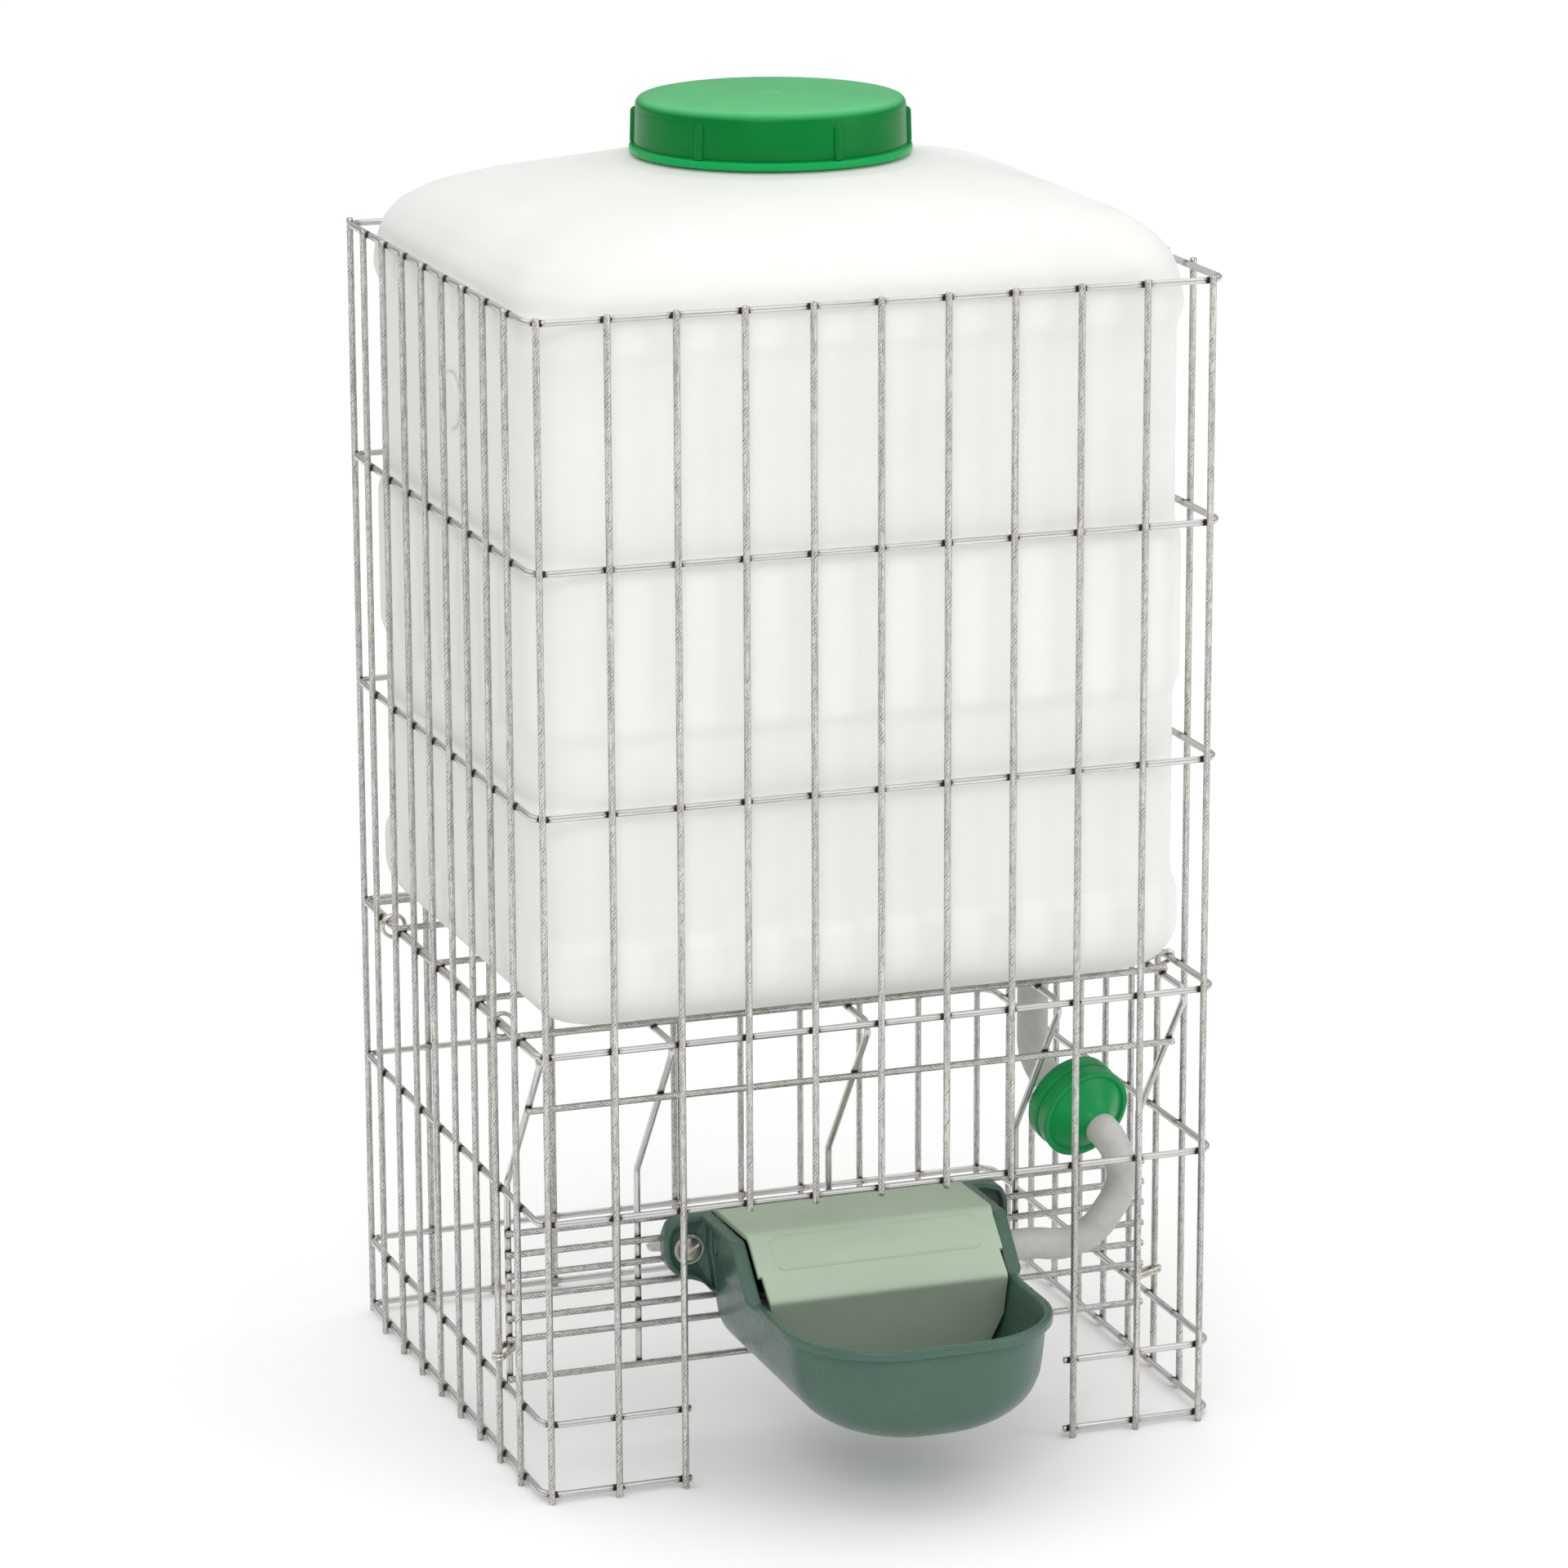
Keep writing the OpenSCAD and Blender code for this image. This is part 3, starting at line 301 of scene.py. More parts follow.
def beads(places, along, up, size, seed):
    """Lumps of squeezed metal: flattened spheres, place + a cos p sin t A + b sin p sin t U + c cos t W, each a little
    different."""
    draw = np.random.default_rng(seed)
    wide, tall, thick = (size * draw.uniform(*span, (len(places), 1, 1, 1)) for span in BEAD_SPANS)
    t = np.linspace(0.0, np.pi, 6)[None, :, None, None]
    p = np.linspace(0.0, 2 * np.pi, 9)[None, None, :, None]
    out = unit(np.cross(along, up))
    axes = [np.broadcast_to(v, places.shape)[:, None, None] for v in (along, up, out)]
    return (places[:, None, None] + wide * np.cos(p) * np.sin(t) * axes[0] + tall * np.sin(p) * np.sin(t) * axes[1]
            + thick * np.cos(t) * axes[2])


def weld_gap(points, welds):
    """Distance from each point to the nearest weld, up to WELD_FAR."""
    flat = points.reshape(-1, 3)
    gap = np.linalg.norm(flat[:, None] - welds[None], axis=-1).min(1)
    return np.minimum(gap, WELD_FAR).reshape(points.shape[:-1])


class PieceSkin:
    """Gathers grids of points into one mesh. Seams and poles are closed by merging points that coincide."""

    def __init__(self):
        self.points, self.quads, self.gaps, self.turns, self.count = [], [], [], [], 0

    def add(self, grid, keep=None, gap=None):
        """Adds a grid, or a stack of grids, of points (..., rows, columns, 3). keep says which of its faces stay, and
        gap is each point's distance to the nearest weld. The way round a ring is kept as (cos, sin) of the column."""
        shape = grid.shape[:-1]
        index = self.count + np.arange(int(np.prod(shape))).reshape(shape)
        faces = np.stack([index[..., :-1, :-1], index[..., 1:, :-1], index[..., 1:, 1:], index[..., :-1, 1:]], -1)
        self.quads.append((faces if keep is None else faces[keep]).reshape(-1, 4))
        self.points.append(grid.reshape(-1, 3))
        self.gaps.append(np.full(index.size, WELD_FAR) if gap is None else np.broadcast_to(gap, shape).ravel())
        turn = np.linspace(0.0, 2 * np.pi, shape[-1])
        ring = np.stack([np.cos(turn), np.sin(turn), np.zeros_like(turn)], -1)
        self.turns.append(np.broadcast_to(ring, (*shape, 3)).reshape(-1, 3))
        self.count += index.size

    def build(self, name, body, finish, nodes=(), sharp=35.0, closed=True):
        """Makes the object: metres, row frame, smooth faces with edges sharper than sharp degrees kept."""
        mesh = bpy.data.meshes.new(name)
        points = (np.concatenate(self.points) + HOME_Y * Y_AXIS) * MM
        quads = np.concatenate(self.quads)
        mesh.vertices.add(len(points))
        mesh.vertices.foreach_set("co", points.astype(np.float32).ravel())
        mesh.loops.add(quads.size)
        mesh.loops.foreach_set("vertex_index", quads.astype(np.int32).ravel())
        mesh.polygons.add(len(quads))
        mesh.polygons.foreach_set("loop_start", np.arange(0, quads.size, 4, dtype=np.int32))
        mesh.update(calc_edges=True)
        attribute = mesh.attributes.new("weld_gap", "FLOAT", "POINT")
        attribute.data.foreach_set("value", np.concatenate(self.gaps).astype(np.float32))
        attribute = mesh.attributes.new("ring_turn", "FLOAT_VECTOR", "POINT")
        attribute.data.foreach_set("vector", np.concatenate(self.turns).astype(np.float32).ravel())
        work = bmesh.new()
        work.from_mesh(mesh)
        bmesh.ops.remove_doubles(work, verts=work.verts, dist=MERGE)
        if closed:
            bmesh.ops.recalc_face_normals(work, faces=work.faces)
        work.to_mesh(mesh)
        work.free()
        if not mesh.polygons:
            raise RuntimeError(f"{name} came out without faces")
        mesh.shade_smooth()
        mesh.set_sharp_from_angle(angle=math.radians(sharp))
        mesh.materials.append(finish)
        piece = bpy.data.objects.new(name, mesh)
        bpy.context.scene.collection.objects.link(piece)
        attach(piece, body)
        if nodes:
            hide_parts(*nodes)
        return piece


# ---------------------------------------------------------------- finishes


class Finish:
    """A node material round one Principled shader, with its patterns on Object coordinates."""

    def __init__(self, name, base, rough, metal=0.0, **sockets):
        self.material = bpy.data.materials.new(name)
        self.material.use_nodes = True
        self.tree = self.material.node_tree
        self.shader = self.tree.nodes["Principled BSDF"]
        self.shader.inputs["Base Color"].default_value = (*base, 1.0)
        self.shader.inputs["Roughness"].default_value = rough
        self.shader.inputs["Metallic"].default_value = metal
        for socket, value in sockets.items():
            self.shader.inputs[socket.replace("_", " ")].default_value = value
        self.place = self.node("ShaderNodeTexCoord").outputs["Object"]

    def node(self, kind, inputs=(), **options):
        """A node with its options set, and its inputs set or linked."""
        made = self.tree.nodes.new(kind)
        for key, value in options.items():
            setattr(made, key, value)
        for key, value in dict(inputs).items():
            self.put(value, made.inputs[key])
        return made

    def put(self, value, socket):
        """Links a socket, or sets a value."""
        if isinstance(value, bpy.types.NodeSocket):
            self.tree.links.new(value, socket)
        else:
            socket.default_value = value

    def attribute(self, name, output):
        """What the mesh carries at its points under a name."""
        return self.node("ShaderNodeAttribute", attribute_name=name, attribute_type="GEOMETRY").outputs[output]

    def axes(self, vector):
        """The X, Y and Z of a vector."""
        return self.node("ShaderNodeSeparateXYZ", {"Vector": vector}).outputs

    def stretched(self, scale):
        """Object coordinates, each times its own scale."""
        return self.node("ShaderNodeMapping", {"Vector": self.place, "Scale": scale}).outputs[0]

    def noise(self, scale, detail=3.0, rough=0.55, place=None):
        """Clouds from 0 to 1, about scale of them to a metre."""
        made = self.node("ShaderNodeTexNoise", {
            "Vector": place or self.place, "Scale": scale, "Detail": detail, "Roughness": rough})
        return made.outputs["Fac"]

    def span(self, value, low, high, out_low=0.0, out_high=1.0):
        """Smooth map of low..high to out_low..out_high."""
        made = self.node("ShaderNodeMapRange", {
            "Value": value, "From Min": low, "From Max": high, "To Min": out_low, "To Max": out_high,
        }, interpolation_type="SMOOTHSTEP")
        return made.outputs["Result"]

    def combine(self, operation, *values):
        """A Math node on its values."""
        return self.node("ShaderNodeMath", dict(enumerate(values)), operation=operation).outputs[0]

    def blend(self, share, first, second):
        """Mix of two colours: the first at share 0, the second at share 1."""
        made = self.node("ShaderNodeMix", data_type="RGBA", blend_type="MIX")
        self.put(share, made.inputs[0])
        for port, tone in zip([s for s in made.inputs if s.type == "RGBA"], (first, second)):
            self.put((*tone, 1.0) if isinstance(tone, tuple) else tone, port)
        return [s for s in made.outputs if s.type == "RGBA"][0]

    def paint(self, socket):
        """Links the colour."""
        self.put(socket, self.shader.inputs["Base Color"])

    def polish(self, socket):
        """Links the roughness."""
        self.put(socket, self.shader.inputs["Roughness"])

    def relief(self, height, depth, strength):
        """Bump of a height, whose 0 to 1 is depth in metres."""
        made = self.node("ShaderNodeBump", {"Height": height, "Distance": depth, "Strength": strength})
        self.put(made.outputs[0], self.shader.inputs["Normal"])


def shade(base, factor):
    """A colour times a factor, held below 1."""
    return tuple(min(1.0, c * factor) for c in base)


MARK_PITCH, MARK_SLANT = 0.002, -6.0  # metres from one roll mark to the next, turns of phase round the wire
HEAT_TINT = (0.34, 0.21, 0.11)
TINT_FADE, BURN_FADE = (4.6, 2.8), (3.0, 2.3)  # millimetres from a weld over which its tint and its scale come in


def wire_finish(name, base, burn, rough, along=None):
    """Zinc wire: drawing streaks that follow the wire, a narrow tan heat tint and black scale at each weld. Wire that
    ran through straightening rolls also has dark worn patches and slanting marks: sin(2 pi axial / 2 mm - 6 angle),
    shifted and broken up by noise, where along names its axis."""
    made = Finish(name, base, rough, 0.9)
    ring = made.attribute("ring_turn", "Vector")

    def round_wire(scale):
        """Object coordinates times a scale, moved by the way round the wire."""
        inputs = {0: made.stretched((scale, scale, scale)), 1: ring}
        return made.node("ShaderNodeVectorMath", inputs, operation="ADD").outputs["Vector"]

    streak = made.noise(2.6, 5.0, 0.6, round_wire(9.0))
    grain = made.noise(1900.0, 2.0, 0.5)
    body = made.blend(made.span(streak, 0.3, 0.68), shade(base, 0.74), shade(base, 1.12))
    height = streak
    if along:
        turn, axial = made.axes(ring), made.axes(made.place)[along]
        angle = made.combine("ARCTAN2", turn["Y"], turn["X"])
        slant = made.combine("MULTIPLY", angle, MARK_SLANT)
        phase = made.combine("ADD", made.combine("MULTIPLY", axial, 2.0 * math.pi / MARK_PITCH), slant)
        phase = made.combine("ADD", phase, made.span(made.noise(330.0, 3.0), 0.2, 0.8, -1.8, 1.8))
        mark = made.span(made.combine("SINE", phase), -0.4, 1.0)
        mark = made.combine("MULTIPLY", mark, made.span(made.noise(380.0, 4.0, 0.65), 0.36, 0.64, 0.1, 1.0))
        worn = made.noise(4.5, 6.0, 0.72, round_wire(26.0))
        body = made.blend(made.span(worn, 0.42, 0.64, 0.0, 0.62), body, shade(base, 0.2))
        body = made.blend(made.combine("MULTIPLY", mark, 0.8), body, shade(base, 0.14))
        body = made.blend(made.span(grain, 0.5, 0.75, 0.0, 0.4), body, shade(base, 0.4))
        height = made.combine("SUBTRACT", grain, mark)
    gap = made.attribute("weld_gap", "Fac")
    ragged = made.combine("ADD", gap, made.span(made.noise(900.0, 3.0), 0.25, 0.75, -0.6, 0.6))
    scale = made.span(ragged, *BURN_FADE)
    body = made.blend(made.span(ragged, *TINT_FADE, 0.0, 0.4), body, HEAT_TINT)
    made.paint(made.blend(scale, body, burn))
    gloss = made.span(streak, 0.3, 0.75, rough + 0.05, rough - 0.05)
    made.polish(made.combine("ADD", gloss, made.combine("MULTIPLY", scale, 0.3)))
    made.relief(height, 0.00006, 0.35 if along else 0.15)
    return made.material


def moulded_finish(name, base, rough, grain_size, depth, streak, painted_light_bands=(), **sockets):
    """Moulded plastic: soft flow clouds in the colour, scuffs in the gloss and a fine grain in the surface. Each
    band of painted light and shade is (height, height, colour): the colour is taken on past the second height,
    from nothing at the first."""
    made = Finish(name, base, rough, **sockets)
    flow = made.noise(26.0, 4.0, 0.6, made.stretched((1.0, 1.0, 2.4)))
    fine = made.noise(grain_size, 3.0, 0.6)

    def clouded(tone):
        """A colour that the flow makes darker and lighter by streak."""
        return made.blend(made.span(flow, 0.3, 0.7), shade(tone, 1.0 - streak), shade(tone, 1.0 + streak))

    body = made.blend(made.span(fine, 0.62, 0.8, 0.0, 0.18), clouded(base), shade(base, 1.3))
    # painted light and shade: lighter or darker colours laid on by height
    for start, full, tone in painted_light_bands:
        body = made.blend(made.span(made.axes(made.place)["Z"], start, full), body, clouded(tone))
    made.paint(body)
    scuff = made.noise(75.0, 5.0, 0.65, made.stretched((1.0, 3.0, 0.7)))
    made.polish(made.span(scuff, 0.3, 0.75, rough - 0.015, rough + 0.02))
    made.relief(fine, depth, 0.3)
    return made.material


def tank_finish(base):
    """Blow-moulded polyethylene: milky, waxy, with a slightly uneven wall and an orange-peel surface."""
    made = Finish("tank_polyethylene", base, 0.5, Subsurface_Weight=0.35, Subsurface_Radius=(0.02, 0.02, 0.018),
                  Subsurface_Scale=0.6, Specular_IOR_Level=0.3)
    wall = made.noise(9.0, 3.0, 0.5)
    made.paint(made.blend(made.span(wall, 0.3, 0.7), shade(base, 0.965), shade(base, 1.03)))
    peel = made.noise(520.0, 2.0, 0.5)
    made.polish(made.span(made.noise(60.0, 4.0, 0.6), 0.3, 0.7, 0.46, 0.58))
    made.relief(made.combine("ADD", made.combine("MULTIPLY", peel, 0.12), wall), 0.0012, 0.3)
    return made.material


def rubber_finish(name, base, rough):
    """Rubber: a dusty bloom in the colour and the gloss, over a fine grain."""
    made = Finish(name, base, rough)
    bloom = made.noise(120.0, 4.0, 0.65)
    fine = made.noise(1500.0, 2.0, 0.5)
    made.paint(made.blend(made.span(bloom, 0.3, 0.72), shade(base, 0.92), shade(base, 1.07)))
    made.polish(made.span(bloom, 0.3, 0.7, rough - 0.06, rough + 0.08))
    made.relief(fine, 0.00008, 0.35)
    return made.material


def plated_finish(name, base, rough):
    """Plated small parts: bright zinc with cloudy passivation and fine marks that run front to back."""
    made = Finish(name, base, rough, 0.92)
    cloud = made.noise(330.0, 4.0, 0.6)
    warm = (min(1.0, base[0] * 1.06), base[1], base[2] * 0.86)
    made.paint(made.blend(made.span(cloud, 0.35, 0.7), shade(base, 0.72), warm))
    made.polish(made.span(cloud, 0.3, 0.75, rough - 0.07, rough + 0.12))
    made.relief(made.noise(2400.0, 2.0, 0.5, made.stretched((1.0, 0.15, 1.0))), 0.00006, 0.4)
    return made.material


def mesh_finish():
    """Woven steel screen: crossed bands of wire with dark openings, painted shade in place of holes."""
    made = Finish("strainer_mesh", (0.5, 0.5, 0.48), 0.35, 0.9)
    waves = [made.node("ShaderNodeTexWave", {"Vector": made.place, "Scale": 420.0}, bands_direction=way).outputs["Fac"]
             for way in ("X", "Z")]
    weave = made.combine("MAXIMUM", *waves)
    # painted shade: the openings are painted near black where holes would show the dark inside
    made.paint(made.blend(made.span(weave, 0.55, 0.8), (0.03, 0.03, 0.03), (0.6, 0.6, 0.58)))
    made.polish(made.span(weave, 0.5, 0.9, 0.7, 0.3))
    made.relief(weave, 0.0002, 0.6)
    return made.material


def foam_finish():
    """Closed-cell foam: pale, full of small cells."""
    made = Finish("float_foam", (0.72, 0.68, 0.52), 0.85)
    cells = made.node("ShaderNodeTexVoronoi", {"Vector": made.place, "Scale": 900.0}).outputs["Distance"]
    made.paint(made.blend(made.span(cells, 0.1, 0.7), (0.5, 0.46, 0.33), (0.76, 0.72, 0.57)))
    made.polish(made.span(cells, 0.0, 0.8, 0.9, 0.75))
    made.relief(cells, 0.0003, 0.5)
    return made.material


# ---------------------------------------------------------------- cage layout


class CageLayout:
    """Where the wires of the cage run, worked out from the cage sizes."""

    def __init__(self, sizes):
        self.half_w, self.half_d = sizes.width / 2 / MM, sizes.depth / 2 / MM
        self.corner, self.radius = sizes.corner / MM, sizes.wire / 2 / MM
        self.off = (sizes.wire - sizes.bite) / MM
        self.top = sizes.upright_top / MM
        self.heights = {node: node_middle(node)[2] for node in HOOPS}

    def stand(self, x, face):
        """Places and outward directions of uprights on the front (-1) or rear (+1) face: off the hoop's straight run,
        or off its corner bend where the upright lies beyond it."""
        over = np.abs(x) - (self.half_w - self.corner)
        reach = self.corner + self.off
        bend = np.sqrt(np.maximum(reach ** 2 - np.maximum(over, 0.0) ** 2, 0.0))
        y = np.where(over <= 0, self.half_d + self.off, self.half_d - self.corner + bend)
        out = unit(np.stack([np.sign(x) * np.maximum(over, 0.0), np.full_like(x, face) * bend], -1))
        return np.stack([x, face * y], -1), out

    def uprights(self):
        """Name to (places, outward directions, lower ends) of each face's uprights."""
        front, steps = FRONT_FIRST + PITCH * np.arange(FRONT_COUNT), PITCH * np.arange(REAR_COUNT)
        rear = np.r_[REAR_FIRST[0] - steps, REAR_FIRST[1] + steps]
        low, steps = np.zeros(FRONT_COUNT), PITCH * np.arange(SIDE_COUNT)
        low[OVER_BOWL] = RAIL_TIP
        faces = {"uprights_front": (*self.stand(front, -1.0), low)}
        for node, hand, y in (
            ("uprights_left", -1.0, LEFT_FIRST - steps), ("uprights_right", 1.0, RIGHT_FIRST + steps),
        ):
            places = np.stack([np.full_like(y, hand * (self.half_w + self.off)), y], -1)
            faces[node] = (places, np.tile([hand, 0.0], (SIDE_COUNT, 1)), np.zeros(SIDE_COUNT))
        faces["uprights_rear"] = (*self.stand(rear, 1.0), np.zeros(len(rear)))
        return faces

    def welds(self, node):
        """Weld places of one hoop, with the directions along the hoop."""
        height = self.heights[node]
        places, along = [], []
        for where, out, low in self.uprights().values():
            met = low < height
            flat = where[met] - out[met] * self.off / 2
            places.append(np.c_[flat, np.full(met.sum(), height)])
            along.append(np.c_[-out[met][:, 1], out[met][:, 0], np.zeros(met.sum())])
        return np.concatenate(places), np.concatenate(along)

    def hoop_runs(self, node):
        """Corner points of a hoop's wires, from the rear seam round the right side."""
        w, d, z = self.half_w, self.half_d, self.heights[node]
        right = [(SEAM[1], d, z), (w, d, z), (w, -d, z)]
        left = [(-w, -d, z), (-w, d, z), (SEAM[0], d, z)]
        if node in OPEN_HOOPS:
            return [[*right, (BAY[1], -d, z)], [(BAY[0], -d, z), *left]]
        return [right + left]


LONG_X = np.array([-148.0, -88.8, 0.0, 88.8, 148.0]) + INNER_X
LONG_Z, CROSS_Z = 195.6, 198.4  # axis heights of the shelf's two layers
SHELF_FRONT, PANEL_REAR = -124.0, 131.0  # y of the shelf's front bend and of its rear tips
SHELF_Y = np.array([-97.0, -37.0, 23.0, 83.0, 129.0])
CARRIER_Y, CARRIER_AXIS = -70.5, -73.3  # y of the carrier's long wires and of its cross wires
CARRIER_TOP, CARRIER_LOW = 124.0, 33.3  # its upper bend and its lower tips
CARRIER_Z = np.r_[102.0 - 9.7 * np.arange(6), 35.3]
PANEL_BEND, CROSS_END = 4.0, 149.6  # bend radius of the long wires, half length of the cross wires
SLANT_AT = 33.0  # way down the slope to its one cross wire
CROSS_COUNT = len(SHELF_Y) + 1 + len(CARRIER_Z)


def slant_place(off):
    """Axis (y, z) of the cross wire on the panel's slope, off in front of the long wires."""
    slope = unit(np.array([CARRIER_Y - SHELF_FRONT, CARRIER_TOP - LONG_Z]))
    return np.array([SHELF_FRONT, LONG_Z]) + SLANT_AT * slope + off * np.array([slope[1], -slope[0]])


def panel_welds(off):
    """Weld places of the panel: every long wire against every cross wire."""
    yz = np.concatenate([
        np.c_[SHELF_Y, np.full(len(SHELF_Y), (LONG_Z + CROSS_Z) / 2)], slant_place(off / 2)[None],
        np.c_[np.full(len(CARRIER_Z), (CARRIER_Y + CARRIER_AXIS) / 2), CARRIER_Z]])
    return np.c_[np.repeat(LONG_X, CROSS_COUNT), np.tile(yz, (len(LONG_X), 1))]


# ---------------------------------------------------------------- operators


class FOUNT_OT_stage(bpy.types.Operator):
    """Camera at the photograph's place, pale floor and soft studio light"""

    bl_idname = "fount.stage"
    bl_label = "Stage"

    EYE, EYE_TURN, EYE_RISE = (-0.9025, -2.5095, 0.9709), -20.411, 14.779  # metres, degrees
    LENS, SENSOR, SHIFT, CLIP = 144.19, 36.0, (-0.0593, 0.0213), (0.05, 500.0)  # mm, mm, shares of the frame, metres
    FLOOR_REACH, FLOOR_ROUGH = 200.0, 0.7
    LAMPS = (  # name, place, diameter, power
        ("key", (-1.2, -2.6, 1.9), 1.4, 20.0),
        ("fill", (2.2, -1.9, 1.1), 1.6, 14.0),
    )
    LAMP_AIM = (0.0, 0.0, 0.3)
    SKY = ((0.15, 0.2), (0.35, 0.5), (0.6, 0.95))  # height, grey
    SKY_ENDS = ((0, 0.16), (-1, 1.02))  # first and last stop, grey
    SKY_STRENGTH = 1.25

    def execute(self, context):
        scene = context.scene
        turn, rise = math.radians(self.EYE_TURN), math.radians(self.EYE_RISE)
        back = Vector((math.sin(turn) * math.cos(rise), -math.cos(turn) * math.cos(rise), math.sin(rise)))
        lens = bpy.data.cameras.new("camera")
        lens.lens, lens.sensor_width = self.LENS, self.SENSOR
        lens.shift_x, lens.shift_y = self.SHIFT
        lens.clip_start, lens.clip_end = self.CLIP
        scene.camera = self.aimed(scene, lens, self.EYE, -back)
        scene.view_settings.view_transform = "Standard"

        reach = self.FLOOR_REACH
        corners = [(-reach, -reach, 0), (reach, -reach, 0), (reach, reach, 0), (-reach, reach, 0)]
        mesh = bpy.data.meshes.new("floor")
        mesh.from_pydata(corners, [], [(0, 1, 2, 3)])
        mesh.materials.append(Finish("studio_floor", scene.fount_finish.floor, self.FLOOR_ROUGH).material)
        floor = bpy.data.objects.new("floor", mesh)
        scene.collection.objects.link(floor)

        for name, place, size, power in self.LAMPS:
            lamp = bpy.data.lights.new(name, "AREA")
            lamp.shape, lamp.size, lamp.energy = "DISK", size, power
            self.aimed(scene, lamp, place, Vector(self.LAMP_AIM) - Vector(place))

        world = bpy.data.worlds.new("studio")
        world.use_nodes = True
        nodes, links = world.node_tree.nodes, world.node_tree.links
        height = nodes.new("ShaderNodeSeparateXYZ")
        links.new(nodes.new("ShaderNodeTexCoord").outputs["Generated"], height.inputs[0])
        sky = nodes.new("ShaderNodeValToRGB")
        for position, grey in self.SKY:
            sky.color_ramp.elements.new(position).color = (grey, grey, grey, 1.0)
        for end, grey in self.SKY_ENDS:
            sky.color_ramp.elements[end].color = (grey, grey, grey, 1.0)
        links.new(height.outputs["Z"], sky.inputs[0])
        links.new(sky.outputs["Color"], nodes["Background"].inputs["Color"])
        nodes["Background"].inputs["Strength"].default_value = self.SKY_STRENGTH
        scene.world = world
        return {"FINISHED"}

    def aimed(self, scene, data, place, towards):
        """A camera or lamp at a place, looking along a direction."""
        made = bpy.data.objects.new(data.name, data)
        made.location = place
        made.rotation_mode = "QUATERNION"
        made.rotation_quaternion = towards.to_track_quat("-Z", "Y")
        scene.collection.objects.link(made)
        return made


class FOUNT_OT_cage(bpy.types.Operator):
    """Hoops and uprights of the welded cage, with their weld beads"""

    bl_idname = "fount.cage"
    bl_label = "Cage wires"

    SHADED = 2.2  # an upright's burn counts from this much further off, which spares its outer face

    def execute(self, context):
        sizes, paint = context.scene.fount_cage, context.scene.fount_finish
        layout = CageLayout(sizes)
        bright = wire_finish("bright_hoop_wire", tuple(paint.hoop), tuple(paint.burn), BRIGHT_ROUGH)
        dull = wire_finish("rolled_upright_wire", tuple(paint.upright), tuple(paint.burn), DULL_ROUGH, "Z")
        for seed, node in enumerate(HOOPS):
            skin = PieceSkin()
            welds, along = layout.welds(node)
            for run in layout.hoop_runs(node):
                path = bent_path(run, [layout.corner] * (len(run) - 2), WIRE_STEP)
                grid = rod(path, layout.radius, WIRE_SIDES, Z_AXIS)
                skin.add(grid, gap=weld_gap(grid, welds))
            skin.add(beads(welds, along, Z_AXIS, sizes.bead / MM, seed), gap=BEAD_GAP)
            skin.build(node + "_wire", "base", bright, [node], sharp=WIRE_SHARP)
        heights = np.array(sorted(layout.heights.values()))
        for node, (places, out, low) in layout.uprights().items():
            skin = PieceSkin()
            for bottom in np.unique(low):
                group, facing = places[low == bottom], out[low == bottom]
                path = straight(bottom * Z_AXIS, layout.top * Z_AXIS, WIRE_STEP)
                one = rod(path, layout.radius, WIRE_SIDES, X_AXIS)
                grid = one + np.c_[group, np.zeros(len(group))][:, None, None]
                contact = np.c_[-facing * layout.off / 2, np.zeros(len(group))][:, None, None]
                met = heights[heights > bottom]
                gap = np.stack([np.linalg.norm(one - contact - h * Z_AXIS, axis=-1) for h in met]).min(0)
                skin.add(grid, gap=np.minimum(gap + self.SHADED, WELD_FAR))
            skin.build(node + "_wire", "base", dull, [node], sharp=WIRE_SHARP)
        return {"FINISHED"}


